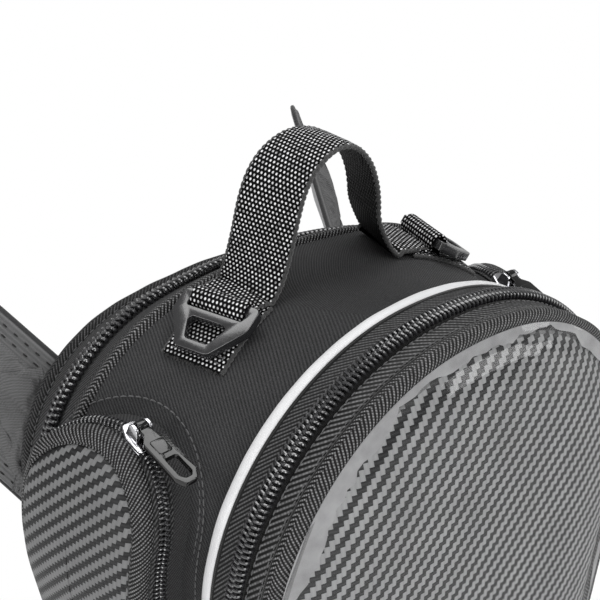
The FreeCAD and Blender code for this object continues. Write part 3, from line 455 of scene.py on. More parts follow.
class Finish:
    """A material and short ways to add and join its nodes."""

    def __init__(self, name, **values):
        self.material = bpy.data.materials.new(name)
        self.material.use_nodes = True
        self.tree = self.material.node_tree
        self.shader = self.tree.nodes["Principled BSDF"]
        for label, value in values.items():
            self.shader.inputs[label.replace("_", " ")].default_value = value
        self.places = self.tree.nodes.new("ShaderNodeTexCoord")
        split = self.tree.nodes.new("ShaderNodeSeparateXYZ")
        self.tree.links.new(self.places.outputs["UV"], split.inputs[0])
        self.run, self.width = split.outputs[0], split.outputs[1]

    def math(self, operation, *values):
        """A math node on numbers or sockets."""
        step = self.tree.nodes.new("ShaderNodeMath")
        step.operation = operation
        for index, value in enumerate(values):
            if isinstance(value, (int, float)):
                step.inputs[index].default_value = value
            else:
                self.tree.links.new(value, step.inputs[index])
        return step.outputs[0]

    def total(self, *values):
        result = values[0]
        for value in values[1:]:
            result = self.math("ADD", result, value)
        return result

    def scaled(self, value, factor, shift=0.0):
        """A value times a factor, plus a shift."""
        return self.math("MULTIPLY_ADD", value, factor, shift)

    def wave(self, value, length):
        """A smooth wave from 0 to 1 along a value, one hump to each length."""
        return self.scaled(self.math("SINE", self.scaled(value, TURN / length)), 0.5, 0.5)

    def noise(self, scale, detail):
        """Noise through the whole bag, from about 0 to 1; its scale is per metre."""
        grain = self.tree.nodes.new("ShaderNodeTexNoise")
        grain.inputs["Scale"].default_value = scale
        grain.inputs["Detail"].default_value = detail
        self.tree.links.new(self.places.outputs["Object"], grain.inputs["Vector"])
        return grain.outputs["Fac"]

    def blend(self, share, low, high):
        """The low colour where the share is 0, and the high one where it is 1."""
        mix = self.tree.nodes.new("ShaderNodeMix")
        mix.data_type = "RGBA"
        self.tree.links.new(share, mix.inputs[0])
        for index, colour in ((COLOUR_LOW, low), (COLOUR_HIGH, high)):
            mix.inputs[index].default_value = (*colour[:3], 1.0)
        return mix.outputs[COLOUR_MIXED]

    def blend_value(self, share, low, high):
        """The low value where the share is 0, and the high one where it is 1."""
        return self.total(self.math("MULTIPLY", share, high),
                          self.math("MULTIPLY", self.scaled(share, -1.0, 1.0), low))

    def colour(self, socket):
        self.tree.links.new(socket, self.shader.inputs["Base Color"])

    def roughness(self, socket):
        self.tree.links.new(socket, self.shader.inputs["Roughness"])

    def bump(self, height, deep):
        """Relief from a height of 0 to 1, in millimetres."""
        relief = self.tree.nodes.new("ShaderNodeBump")
        relief.inputs["Distance"].default_value = deep * MM
        self.tree.links.new(height, relief.inputs["Height"])
        self.tree.links.new(relief.outputs[0], self.shader.inputs["Normal"])


def grey(value, factor):
    """A colour made darker or lighter by a factor."""
    return tuple(min(1.0, channel * factor) for channel in value[:3])


def twill_finish(name, colour, pitch, contrast):
    """Cloth with fine slanting ribs, crossed by its threads."""
    f = Finish(name, Roughness=0.78, Sheen_Weight=0.04, Specular_IOR_Level=0.12)
    slant = f.wave(f.total(f.run, f.width), pitch * MM)
    thread = f.wave(f.math("SUBTRACT", f.run, f.width), pitch * 0.62 * MM)
    height = f.total(f.scaled(slant, 0.7), f.scaled(thread, 0.3))
    fleck = f.math("POWER", f.noise(2600.0, 1.0), 3.0)
    shade = f.total(f.scaled(height, 0.75), f.scaled(f.noise(45.0, 3.0), 0.3),
                    f.scaled(fleck, 1.5, -0.1))
    f.colour(f.blend(f.scaled(shade, 0.75), grey(colour, 1 - contrast), grey(colour, 1 + contrast)))
    f.bump(height, 0.16)
    return f.material


def braid_finish(name, colour, light, pitch, middle, slope=1.0, deep=0.25, knots=0.45):
    """Woven binding: threads that run out from its middle in a herringbone."""
    f = Finish(name, Roughness=0.5, Specular_IOR_Level=0.15)
    side = f.math("ABSOLUTE", f.scaled(f.width, 1.0, -middle * MM))
    along = f.math("SUBTRACT", f.run, f.scaled(side, slope))
    rib = f.math("MAXIMUM", f.scaled(f.wave(along, pitch * MM), 1.5, -0.5), 0.0)
    cross = f.wave(f.total(f.run, f.scaled(side, 0.9)), pitch * 0.75 * MM)
    height = f.math("MULTIPLY", rib, f.scaled(cross, knots, 1 - knots))
    uneven = f.math("MULTIPLY", height, f.scaled(f.noise(900.0, 1.0), 1.6, 0.15))
    f.colour(f.blend(uneven, colour, light))
    f.bump(height, deep)
    return f.material


def webbing_finish(name, colour, light):
    """Coarse basket weave on black: pale dashes in staggered rows, painted highlights on the threads,
    kept faint on its inner side as painted shade.
    """
    long, wide = sizes().weave_long / MM, sizes().weave_wide / MM
    outer_side = (sizes().strap_width / MM + 2) * MM
    f = Finish(name, Roughness=0.5, Specular_IOR_Level=0.04)
    row = f.math("FLOOR", f.scaled(f.run, 1 / (long * MM)))
    shift = f.scaled(f.math("FLOORED_MODULO", row, 2.0), 0.5 * wide * MM)
    cross = f.wave(f.total(f.width, shift), wide * MM)
    down = f.math("ABSOLUTE", f.math("SINE", f.scaled(f.run, math.pi / (long * MM))))
    height = f.math("MULTIPLY", f.math("POWER", cross, 0.7), down)
    # painted shade: off the outer face the painted highlights fall to a faint trace
    outer = f.scaled(f.math("LESS_THAN", f.width, outer_side), 0.94, 0.06)
    # noise that makes the painted highlights stronger here and weaker there
    wear_and_glint = f.scaled(f.noise(620.0, 1.0), 2.4, -0.35)
    # painted highlight: pale dashes where the threads crest
    dash = f.scaled(height, 3.4, -1.75)
    clear = f.math("MINIMUM", f.math("MAXIMUM", dash, 0.0), 1.0)
    f.colour(f.blend(f.math("MULTIPLY", f.math("MULTIPLY", clear, wear_and_glint), outer), colour, light))
    f.bump(height, 0.35)
    return f.material


def carbon_finish(name, light, cell, gloss):
    """Vinyl printed and embossed as a two-by-two woven carbon cloth."""
    thread = 0.18 * MM
    f = Finish(name, Roughness=0.4, Specular_IOR_Level=gloss)
    across = f.scaled(f.run, 1 / (cell * MM))
    up = f.scaled(f.width, 1 / (cell * MM))
    column, row = f.math("FLOOR", across), f.math("FLOOR", up)
    step = f.math("FLOORED_MODULO", f.math("SUBTRACT", column, row), 4.0)
    lifted = f.math("LESS_THAN", step, 1.5)
    side = f.math("ABSOLUTE", f.scaled(f.math("FRACT", across), 1.0, -0.5))
    end = f.math("ABSOLUTE", f.scaled(f.math("FRACT", up), 1.0, -0.5))
    edge = f.blend_value(lifted, end, side)
    strand = f.blend_value(lifted, f.wave(f.width, thread), f.wave(f.run, thread))
    cloudy = f.scaled(f.noise(60.0, 2.0), 0.4, 0.75)
    tone = f.total(f.scaled(lifted, 0.8, 0.02), f.scaled(strand, 0.12), f.scaled(edge, -0.25))
    f.colour(f.blend(f.math("MULTIPLY", tone, cloudy), colours().carbon_dark, light))
    f.bump(f.total(f.scaled(edge, -1.2), f.scaled(strand, 0.25)), 0.12)
    return f.material


def film_finish(name):
    """Clear soft film: dims a little what is under it and reflects what is round it."""
    f = Finish(name, Base_Color=(0.012, 0.012, 0.013, 1.0), Roughness=0.07, IOR=2.2, Alpha=0.3)
    f.bump(f.noise(34.0, 2.0), 0.05)
    return f.material


def painted_reflection_finish(name):
    """Film that clings to the sheet under it, coloured pale and cloudy as a painted reflection, with
    a soft shine.
    """
    f = Finish(name, Roughness=0.22, Alpha=0.8)
    # pale painted reflection colour, cloudier in places
    f.colour(f.blend(f.noise(140.0, 4.0), (0.3, 0.3, 0.305), (0.8, 0.8, 0.81)))
    f.bump(f.noise(90.0, 2.0), 0.1)
    return f.material


def plastic_finish(name, colour, rough, coat=0.0, metal=0.0, grain=0.02):
    """Moulded or plated surface with fine unevenness and small scuffs."""
    f = Finish(name, Specular_IOR_Level=0.6 + 0.4 * coat, Coat_Weight=coat,
               Coat_Roughness=0.08, Metallic=metal)
    f.colour(f.blend(f.noise(160.0, 3.0), grey(colour, 0.8), grey(colour, 1.2)))
    f.roughness(f.scaled(f.noise(420.0, 4.0), 0.16, rough - 0.08))
    f.bump(f.noise(1500.0, 2.0), grain)
    return f.material


def plain_cloth(name, colour, weave, rough=0.85, sheen=0.3):
    """Plain woven or brushed cloth, its threads crossing at right angles."""
    f = Finish(name, Roughness=rough, Sheen_Weight=sheen, Specular_IOR_Level=0.2)
    threads = f.math("MULTIPLY", f.wave(f.run, weave * MM), f.wave(f.width, weave * MM))
    shade = f.total(f.scaled(threads, 0.5), f.scaled(f.noise(70.0, 4.0), 0.5))
    f.colour(f.blend(shade, grey(colour, 0.75), grey(colour, 1.2)))
    f.bump(f.total(threads, f.noise(900.0, 2.0)), 0.08)
    return f.material


def beaded_finish(name, colour):
    """Retroreflective cloth: a pale face of tiny beads over crossed threads."""
    f = Finish(name, Roughness=0.45, Sheen_Weight=0.3, Specular_IOR_Level=0.6, Metallic=0.1)
    # the bead speckle in the colour is partly the beads' own grain and partly painted sparkle
    bead = f.noise(3200.0, 1.0)
    thread = f.math("MULTIPLY", f.wave(f.run, 0.7 * MM), f.wave(f.width, 0.7 * MM))
    wear_and_glint = f.noise(110.0, 4.0)
    shade = f.total(f.scaled(bead, 0.45), f.scaled(wear_and_glint, 0.45), f.scaled(thread, 0.2))
    f.colour(f.blend(shade, grey(colour, 0.72), grey(colour, 1.12)))
    f.bump(f.total(thread, bead), 0.08)
    return f.material


def rib_finish(name, colour, light):
    """Flap cloth: fine twill inside a border of sewn ribs; its V runs in from the edge."""
    f = Finish(name, Roughness=0.75, Sheen_Weight=0.08, Specular_IOR_Level=0.3)
    inside = f.math("GREATER_THAN", f.width, 9 * MM)
    ribs = f.wave(f.width, WING_RIB * MM)
    place = f.tree.nodes.new("ShaderNodeSeparateXYZ")
    f.tree.links.new(f.places.outputs["Object"], place.inputs[0])
    slant = f.wave(f.total(place.outputs[0], place.outputs[1], place.outputs[2]), 1.5 * MM)
    cross = f.wave(f.math("SUBTRACT", place.outputs[2], place.outputs[0]), 0.9 * MM)
    weave = f.total(f.scaled(slant, 0.6), f.scaled(cross, 0.3))
    height = f.blend_value(inside, f.total(f.scaled(ribs, 0.9), f.scaled(cross, 0.1)), weave)
    shade = f.total(f.scaled(height, 0.6), f.scaled(f.noise(38.0, 4.0), 0.5))
    f.colour(f.blend(shade, colour, light))
    f.bump(height, 0.22)
    return f.material


# ---------------------------------------------------------------- what a user may change
def colour_property(label, about, default):
    """A colour that a user may change."""
    return FloatVectorProperty(name=label, description=about, subtype="COLOR", size=3,
                               min=0.0, max=1.0, default=default)


class TankBagColours(bpy.types.PropertyGroup):
    """Colours of the bag's cloths, tapes and hardware"""
    cloth: colour_property("Wall cloth", "Dense twill of the wall", (0.034, 0.034, 0.035))
    tape: colour_property("Zip tape", "Woven tape of the zips", (0.008, 0.008, 0.0082))
    binding: colour_property("Binding", "Dark threads of the bindings", (0.004, 0.004, 0.004))
    thread: colour_property("Binding threads", "Light threads of the bindings", (0.27, 0.27, 0.273))
    webbing: colour_property("Webbing", "Gaps in the webbing's weave", (0.003, 0.003, 0.003))
    carbon_dark: colour_property("Carbon, dark", "Dark strands", (0.006, 0.006, 0.0065))
    carbon_light: colour_property("Carbon, light", "Light strands", (0.6, 0.605, 0.61))
    reflector: colour_property("Piping", "Reflective piping", (0.72, 0.72, 0.73))
    flap: colour_property("Flap", "Outer cloth of the magnet flaps", (0.085, 0.085, 0.086))
    flap_lining: colour_property("Flap lining", "Inner side of the flaps", (0.42, 0.42, 0.43))
    plastic: colour_property("Plastic", "Zip coils and strap rings", (0.012, 0.012, 0.013))
    metal: colour_property("Slider metal", "Plated zip sliders", (0.62, 0.62, 0.64))


def length_property(label, about, default):
    """A length that a user may change, its default in millimetres."""
    return FloatProperty(name=label, description=about, default=default * MM, min=0.0,
                         subtype="DISTANCE", unit="LENGTH")


class TankBagSizes(bpy.types.PropertyGroup):
    """Sizes of the bag's coils, weaves and webbing"""
    rear_pitch: length_property("Rear coil", "Length of one turn of the rear coil", 2.35)
    front_pitch: length_property("Front coil", "Length of one turn of the front coil", 1.9)
    pocket_pitch: length_property("Pocket coil", "Length of one turn of a pocket's coil", 1.6)
    carbon_cell: length_property("Carbon cell", "Width of one strand of the panels", 1.75)
    weave_long: length_property("Weave length", "One row of the webbing's weave", 1.5)
    weave_wide: length_property("Weave width", "One thread of the webbing's weave", 1.65)
    strap_width: length_property("Webbing width", "Width of the handle", 25.0)
    puff_frames: IntProperty(name="Puff steps", description="Cloth steps for the flaps",
                             default=14, min=2, max=60)


def colours():
    """The colours that a user may change."""
    return bpy.context.scene.tank_bag_colours


def sizes():
    """The sizes that a user may change, in metres."""
    return bpy.context.scene.tank_bag_sizes


# every surface of the bag, made from its name when a piece first asks for it
FINISHES = {
    "wall_twill": lambda n: twill_finish(n, colours().cloth, 1.3, 1.0),
    "base_cloth": lambda n: twill_finish(n, colours().cloth, 1.2, 0.3),
    "lining_cloth": lambda n: plain_cloth(n, (0.2, 0.2, 0.21), 0.9),
    "foam_cells": lambda n: plastic_finish(n, (0.12, 0.12, 0.12), 0.9, grain=0.3),
    "board_sheet": lambda n: plastic_finish(n, (0.04, 0.04, 0.042), 0.55, grain=0.05),
    "grip_rubber": lambda n: plastic_finish(n, (0.035, 0.035, 0.036), 0.7, grain=0.06),
    "tape_twill": lambda n: braid_finish(n, colours().tape, (0.12, 0.12, 0.122), 1.9, 9.0,
                                         slope=1.2, deep=0.12),
    "pale_tape": lambda n: braid_finish(n, (0.006, 0.006, 0.006), (0.17, 0.17, 0.172), 2.3, 60.0,
                                        slope=1.0, deep=0.2),
    "binding_braid": lambda n: braid_finish(n, colours().binding, colours().thread, 1.6, 9.0,
                                            slope=0.8, knots=0.8),
    "edge_braid": lambda n: braid_finish(n, colours().binding, (0.09, 0.09, 0.092), 1.6, 9.0,
                                         slope=0.9),
    # the pale colour of the webbing's dashes is a painted highlight
    "webbing_weave": lambda n: webbing_finish(n, colours().webbing, (0.75, 0.75, 0.76)),
    "selvedge_thread": lambda n: plain_cloth(n, (0.035, 0.035, 0.035), 0.5, rough=0.55),
    "sewing_thread": lambda n: plain_cloth(n, (0.09, 0.09, 0.092), 0.3, rough=0.6),
    "dark_thread": lambda n: plain_cloth(n, (0.008, 0.008, 0.008), 0.3, rough=0.6),
    "piping_beads": lambda n: beaded_finish(n, colours().reflector),
    # near-black strips that stand in as painted shade for grooves and the gaps under coils
    "coil_bed": lambda n: plain_cloth(n, (0.006, 0.006, 0.006), 0.7),
    # the coils take the plastic colour twice as light, a painted lift for the brighter shine of their
    # turns
    "coil_plastic": lambda n: plastic_finish(n, grey(colours().plastic, 2.0), 0.24, coat=1.0),
    "plated_metal": lambda n: plastic_finish(n, colours().metal, 0.16, metal=1.0),
    "black_enamel": lambda n: plastic_finish(n, (0.003, 0.003, 0.003), 0.1),
    "ring_plastic_satin": lambda n: plastic_finish(n, colours().plastic, 0.24, coat=0.55),
    "window_carbon": lambda n: carbon_finish(n, colours().carbon_light,
                                             sizes().carbon_cell / MM, 0.12),
    "film_sheet": film_finish,
    # the pale film colour of the welded band is a painted reflection
    "painted_reflection_film": painted_reflection_finish,
    "pocket_carbon": lambda n: carbon_finish(n, grey(colours().carbon_light, 0.33),
                                             sizes().carbon_cell / MM * 0.85, 0.3),
    "flap_cloth": lambda n: rib_finish(n, grey(colours().flap, 0.6), grey(colours().flap, 1.7)),
    "flap_lining_cloth": lambda n: plain_cloth(n, colours().flap_lining, 0.8, sheen=0.4),
    "flap_edge": lambda n: plain_cloth(n, (0.03, 0.03, 0.031), 0.4, rough=0.7),
    "magnet_metal": lambda n: plastic_finish(n, (0.55, 0.55, 0.57), 0.3, metal=1.0),
}


def finish(name):
    """The named finish, made the first time that it is asked for."""
    return bpy.data.materials.get(name) or FINISHES[name](name)


# ---------------------------------------------------------------- wall, lining and tank side
def shell_sheet(name, outer, inner, wave):
    """A sheet of the shell between two depths, gently uneven, open at the rear zip's band."""
    rows, calm_edge = 52, 6 * MM
    y_low, y_high = FRONT.y, REAR.y - 6.5 * MM
    gap_y, gap_z = RIDGE.y - 2.25 * MM, ZIP_END["rear"]
    ys = np.linspace(y_low, y_high, rows)
    sides = [np.array([ring_at(y, Depth(*[lift * MM] * 3)) for y in ys])
             for lift in (outer, inner)]
    outward = unit(sides[0] - sides[1])
    middle = sides[0][rows // 2]
    around = np.linalg.norm(np.diff(middle, axis=0, append=middle[:1]), axis=1)
    run = np.concatenate(([0.0], np.cumsum(around)))
    for row, y in enumerate(ys):
        calm = max(0.0, min(1.0, (y - y_low) / calm_edge, (y_high - y) / calm_edge))
        for column in range(len(middle)):
            push = wave * MM * calm * noise.noise(Vector(sides[0][row, column]) * 26.0)
            for side in sides:
                side[row, column] += outward[row, column] * push
    loop = np.concatenate((sides[0], sides[1][::-1]))
    loop[:, :, 2] = np.maximum(loop[:, :, 2], 0.0)
    deep = np.concatenate((ys, ys[::-1], ys[:1]))
    uvs = np.stack(np.meshgrid(deep, run, indexing="ij"), axis=-1)[:, :, ::-1]
    points, faces, face_uvs = grid(loop, uvs, True, True)
    middles = points[np.array(faces)].mean(axis=1)
    keep = np.flatnonzero((middles[:, 1] < gap_y) | (middles[:, 2] < gap_z))
    face_uvs = face_uvs.reshape(-1, 4, 2)[keep].reshape(-1, 2)
    return build_mesh(name, points, [faces[index] for index in keep], face_uvs)


def panel_parts(outline, insets, heights, y, back, facing):
    """A bulged panel across the bag: rings inset from an outline, closed at its middle."""
    rings = [(outline(inset * MM), height) for inset, height in zip(insets, heights)]
    last = rings[-1][0]
    centre = last.mean(axis=0)
    for share in (0.8, 0.6, 0.4, 0.2, 0.02):
        rings.append((centre + (last - centre) * share, heights[-1]))
    rings.insert(0, (rings[0][0], back))
    points = np.array([np.column_stack((flat[:, 0], np.full(len(flat), y + facing * high * MM),
                                        flat[:, 1])) for flat, high in rings])
    points[:, :, 2] = np.maximum(points[:, :, 2], 0.0)
    uvs = points[:, :, (0, 2)]
    uvs = np.concatenate((uvs, uvs[:, :1]), axis=1)
    surface, faces, face_uvs = grid(points, uvs, False, True)
    count = points.shape[1]
    start = (len(rings) - 1) * count
    caps = [list(range(count)), list(range(start, start + count))[::-1]]
    face_uvs = np.concatenate((face_uvs, surface[caps[0]][:, (0, 2)], surface[caps[1]][:, (0, 2)]))
    return surface, faces + caps, face_uvs


def outline_inside(place, rise=0.0, extra=0.0):
    """A function that gives one station's outline, inset by a distance."""
    def inside(inset):
        half = half_outline(place, extra * MM - inset, rise)
        return np.concatenate((half, half[::-1][1:-1] * (-1, 1)))
    return inside


def make_walls():
    """The sewn tube of the wall, its lining, and the panel, boards and pad on the tank side."""
    wall = piece("wall_cloth", shell_sheet("wall_cloth", 0.0, -1.4, 0.9), finish("wall_twill"),
                 "body", ["main_wall"])
    piece("lining_sheet", shell_sheet("lining_sheet", -5.6, -6.3, 1.2), finish("lining_cloth"),
          "body", ["inner_lining"])
    base = merged("base_cloth_panel", [panel_parts(
        outline_inside(REAR, extra=-4.0), (0, 1.2, 3, 8, 14, 18), (2.0, 2.9, 3.0, 3.3, 3.1, 3.0),
        REAR.y - 3 * MM, 0.0, 1.0)])
    piece("base_cloth_panel", base, finish("base_cloth"), "body", ["base_panel"])
    make_grip()
    for node, name in (("wall_foam", "foam_cells"), ("back_board", "board_sheet"),
                       ("lid_board", "board_sheet")):
        dress(node, name)


def dress(node, name):
    """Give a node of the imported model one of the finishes."""
    mesh = frame["nodes"][node].data
    mesh.materials.clear()
    mesh.materials.append(finish(name))


def make_grip():
    """The rubber pad on the tank side: a soft-edged sheet with rows of small domes."""
    pitch, row_pitch, radius, sides = 9.0 * MM, 7.83 * MM, 3.2 * MM, 12
    inside = outline_inside(REAR, extra=-22.0)
    parts = [panel_parts(inside, (0, 0.6, 1.4, 3), (0.9, 1.7, 1.9, 1.9), REAR.y, 0.0, 1.0)]
    edge = inside(5 * MM)
    turn = np.arange(sides) / sides * TURN
    rise = np.array(((1.0, 0.0), (0.86, 0.55), (0.5, 0.9), (0.05, 1.0)))
    uvs = np.zeros((len(rise), sides + 1, 2))
    low, high = edge[:, 1].min(), edge[:, 1].max()
    for row in range(int((high - low) / row_pitch)):
        z = low + (row + 0.5) * row_pitch
        crossing = edge[:, 0][np.abs(edge[:, 1] - z) < 4 * MM]
        reach = np.abs(crossing).max() if len(crossing) else 0.0
        count = int(reach / pitch)
        for column in range(-count, count + 1):
            x = (column + 0.5 * (row % 2)) * pitch
            if abs(x) + radius > reach:
                continue
            points = np.array([[(x + radius * r * math.cos(t), REAR.y + (1.85 + 1.1 * h) * MM,
                                 z + radius * r * math.sin(t)) for t in turn] for r, h in rise])
            parts.append(grid(points, uvs, False, True, caps=True))
    pad = piece("grip_sheet", merged("grip_sheet", parts), finish("grip_rubber"), "body",
                ["grip_pad"])


# ---------------------------------------------------------------- strips, bindings and coils
def strip(name, track, section, look, body, nodes, wobble=0.0):
    """A tape, binding or piping: a section along a track, its upper half a little uneven."""
    middle = section[:, 1].mean()
    mesh = merged(name, [swept_parts(track, section, wobble, middle, ripple=90.0, seed=0.3)])
    return piece(name, mesh, finish(look), body, nodes)


def box_section(half, low, high, radii):
    """A strip's section: its width each side, its underside and its top."""
    return rounded([(half, low), (half, high), (-half, high), (-half, low)], list(radii), 5)


def grooved(half, low, high, dip, edge):
    """A flat tape whose edges dip into the seams beside it."""
    return rounded([(half, low), (half, dip), (half - edge, high), (-half + edge, high),
                    (-half, dip), (-half, low)], [0.1, 0.3, 0.6, 0.6, 0.3, 0.1], 3)


def make_rear_zip():
    """The arched zip on the slanted band, between its ridge binding and its edge binding."""
    low, spacing = ZIP_END["rear"], 1.6 * MM
    strip("ridge_braid", shell_track(RIDGE.y, low=low, spacing=spacing),
          box_section(2.25, -4.0, 1.5, (0.2, 1.9, 1.9, 0.2)), "binding_braid", "body",
          ["ridge_binding"], 0.35)
    strip("rear_tape_near", shell_track(REAR_TAPE_NEAR_Y, low=low, spacing=spacing),
          grooved(6.0, -2.4, -0.35, -1.5, 1.0), "tape_twill", "body", ["rear_tape_front"],
          0.25)
    strip("rear_tape_far", shell_track(REAR_TAPE_FAR_Y, low=low, spacing=spacing),
          grooved(6.6, -2.4, -0.35, -1.9, 1.3), "tape_twill", "body", ["rear_tape_back"],
          0.25)
    strip("rear_edge_braid", shell_track(REAR_EDGE_Y, spacing=spacing),
          box_section(3.25, -4.0, 1.5, (0.2, 2.4, 2.6, 0.2)), "edge_braid", "body",
          ["rear_edge_binding"], 0.4)
    chain = shell_track(REAR_CHAIN_Y, low=low, spacing=MM)
    # painted shade: a near-black strip under the coil stands in for the shade between its turns and
    # beside it
    strip("rear_coil_bed", chain, box_section(4.0, -2.4, -1.3, (0.1, 0.3, 0.3, 0.1)), "coil_bed",
          "body", [])
    for name, side, node in (("rear_coil_near", -1, "rear_chain_front"),
                             ("rear_coil_far", 1, "rear_chain_back")):
        coil = merged(name, [coil_parts(chain, side, sizes().rear_pitch, 4.0, 2.7, -0.5, 0.62)])
        piece(name, coil, finish("coil_plastic"), "body", [node])
    seams = []
    for y in REAR_SEAMS_Y:
        seams += stitch_parts(shell_track(y, low=low), 0.0, -0.15, 3.0, 2.1, 0.45)
    piece("rear_tape_stitches", merged("rear_tape_stitches", seams), finish("sewing_thread"),
          "body", [])


def rim_track(y, low=None, spacing=1.8 * MM):
    """A track round the front of the shell, where the lid's rim stands a little out."""
    return shell_track(y, rise=LID_RISE, low=low, spacing=spacing)


def lower_track(y, high, spacing):
    """A track round the rim's foot, below a height."""
    ring = ring_at(y, WALL, LID_RISE)
    ring = np.roll(ring, len(ring) // 2, axis=0)
    ring = ring[ring[:, 2] <= high]
    return Track(ring, np.tile((0.0, 1.0, 0.0), (len(ring), 1)), spacing)


def make_front_zip():
    """The piping and the body's half of the front zip, with the lid's half of its coil."""
    low = ZIP_END["front"]
    strip("piping", rim_track(PIPING_Y), box_section(3.1, -11.0, -0.6, (0.2, 2.6, 2.6, 0.2)),
          "piping_beads", "body", ["reflective_piping"], 0.3)
    strip("front_tape_wide", rim_track(FRONT_TAPE_Y), grooved(4.75, -4.0, -1.1, -2.4, 1.2),
          "tape_twill", "body", ["front_tape_outer"], 0.3)
    # painted shade: a thin black strip stands in for the shaded groove between the piping and the
    # tape
    strip("front_groove_shade", rim_track(FRONT_SHADE_STRIP_Y),
          box_section(0.8, -4.0, -0.7, (0.1, 0.5, 0.5, 0.1)), "coil_bed", "body", [])
    hinge_y = (FRONT_CHAIN_Y + 2.8 * MM + LID_EDGE_Y + 8 * MM) / 2
    strip("foot_hinge_cloth", lower_track(hinge_y, low, 2 * MM),
          grooved(2.7, -4.0, -1.2, -2.0, 0.8), "wall_twill", "body", ["lid_hinge_strip"],
          0.2)
    track, pitch = rim_track(FRONT_CHAIN_Y, low, MM), sizes().front_pitch
    for name, side, node, body in (("front_coil_body", 1, "front_chain_outer", "body"),
                                   ("front_coil_lid", -1, "front_chain_inner", "lid")):
        coil = merged(name, [coil_parts(track, side, pitch, 2.8, 2.4, -0.7, 0.5, lap=0.4)])
        piece(name, coil, finish("coil_plastic"), body, [node])
        # painted shade: black strips under each half of the coil stand in for the shaded grooves
        # beside it
        strip(name + "_bed", rim_track(FRONT_CHAIN_Y + side * 1.5 * MM, low),
              box_section(1.3, -3.9, -1.3, (0.1, 0.3, 0.3, 0.1)), "coil_bed", body, [])


def make_lid():
    """The lid's zip tape, its braid and the window."""
    tape_y = LID_EDGE_Y + 4.0 * MM
    strip("front_tape_narrow", rim_track(tape_y), grooved(4.0, -4.0, -0.9, -2.6, 1.1),
          "pale_tape", "lid", ["front_tape_inner"], 0.3)
    strip("lid_braid", rim_track(LID_BINDING_Y, spacing=1.5 * MM),
          rounded([(2.75, -7.0), (2.75, 0.0), (-2.75, 0.0), (-2.75, -7.0)],
                  [0.3, 1.4, 2.6, 0.8], 5), "binding_braid", "lid", ["lid_binding"],
          0.4)
    # painted shade: a thin black strip stands in for the shaded groove between the tape and the braid
    strip("lid_groove_shade", rim_track(LID_EDGE_Y - 0.2 * MM),
          box_section(0.9, -3.0, -0.5, (0.1, 0.5, 0.5, 0.1)), "coil_bed", "lid", [])
    make_window()
    seams = []
    for across in (-2.6, 2.6):
        seams += stitch_parts(rim_track(tape_y), across, -0.75, 2.9, 2.0, 0.45)
    piece("lid_tape_stitches", merged("lid_tape_stitches", seams), finish("sewing_thread"),
          "lid", [])


def dome(inset):
    """How far the panel stands out of the lid at a distance in from its rim."""
    return float(np.interp(inset, (7, 9, 14, 22, 34, 42), (1.2, 2.4, 4.5, 6.4, 7.7, 8.0)))


def film_height(inset):
    """The same for the film, whose welded edge lies on the binding."""
    return float(np.interp(inset, (3.4, 6, 9, 14, 22, 34, 42),
                           (2.2, 2.8, 3.4, 5.0, 6.85, 8.15, 8.45)))


def make_window():
    """The woven-look panel and the wrinkled clear film that lies over it."""
    insets = [6.8, 7.4, 8.2, 9.2, 10.5] + [12 + 1.5 * step for step in range(20)]
    inside = outline_inside(FRONT, LID_RISE)
    heights = [dome(inset) for inset in insets]
    panel = merged("window_panel", [panel_parts(inside, insets, heights, LID_FACE_Y, -3.4, -1.0)])
    cushion = piece("window_panel", panel, finish("window_carbon"), "lid", ["carbon_panel"])
    insets = [3.4, 3.8, 4.6, 5.6, 6.6] + list(np.arange(7.2, 41, 0.9))
    heights = [film_height(inset) for inset in insets]
    film = merged("window_film", [panel_parts(inside, insets, heights, LID_FACE_Y, 1.6, -1.0)])
    for vertex in film.vertices:
        vertex.co.y -= film_wrinkle(vertex.co.x / MM, vertex.co.z / MM) * MM
    piece("window_film", film, finish("film_sheet"), "lid", ["map_window"])
    # the welded band, coloured as a painted reflection of the lights on the film
    piece("window_painted_reflection", film_painted_reflection(inside), finish("painted_reflection_film"), "lid", [])


def film_painted_reflection(inside):
    """The band where the film sticks to what is under it, its inner edge ragged, coloured as a
    painted reflection; wider towards the top, with a broad patch of painted highlight on the left.
    """
    edge, deepest = 3.6, 10.6
    outer = inside(edge * MM)
    inward = (inside(deepest * MM) - outer) / (deepest - edge)
    rows = []
    for (x, z), step in zip(outer, inward):
        spot = Vector((x * 60, z * 60, 1.7))
        ragged = 2.6 + 3.4 * noise.noise(spot) + 2.2 * noise.noise(spot * 4.3)
        # painted reflection: the band reaches further in towards the top of the window
        reach = 0.6 + max(0.0, ragged) * min(1.0, max(0.25, (z / MM - 60) / 120))
        # a broad patch of painted highlight on the left side
        if x < 0:
            reach += 5.0 * math.exp(-((z / MM - 262) / 26) ** 2)
        row = []
        for share, lift in ((0, -0.5), (0, -0.16), (0.5, -0.16), (1, -0.16), (1, -0.3),
                            (0.5, -0.5)):
            inset = edge + reach * share
            at_x, at_z = np.array((x, z)) + step * reach * share
            row.append((at_x, LID_FACE_Y - (film_height(inset) + lift) * MM, at_z))
        rows.append(row)
    points = np.array(rows)
    uvs = np.zeros((len(points) + 1, points.shape[1] + 1, 2))
    return merged("window_painted_reflection", [grid(points, uvs, True, True)])


# each crease of the film in millimetres: where its top is, its slope, its ends and its section
Crease = namedtuple("Crease", "x lean low high deep wide")
CREASES = tuple(Crease(*millimetres) for millimetres in (
    (20, -0.25, 262, 306, 1.5, 1.3), (27, -0.1, 288, 305, 0.9, 1.0),
    (33, 0.1, 284, 304, 0.8, 1.0), (48, -0.3, 252, 296, 1.4, 1.4),
    (-74, 0.25, 200, 285, 1.5, 2.4), (-62, 0.2, 150, 262, 0.8, 2.0),
    (-42, 0.16, 60, 200, 0.6, 2.6), (40, -0.12, 60, 180, 0.6, 2.6)))


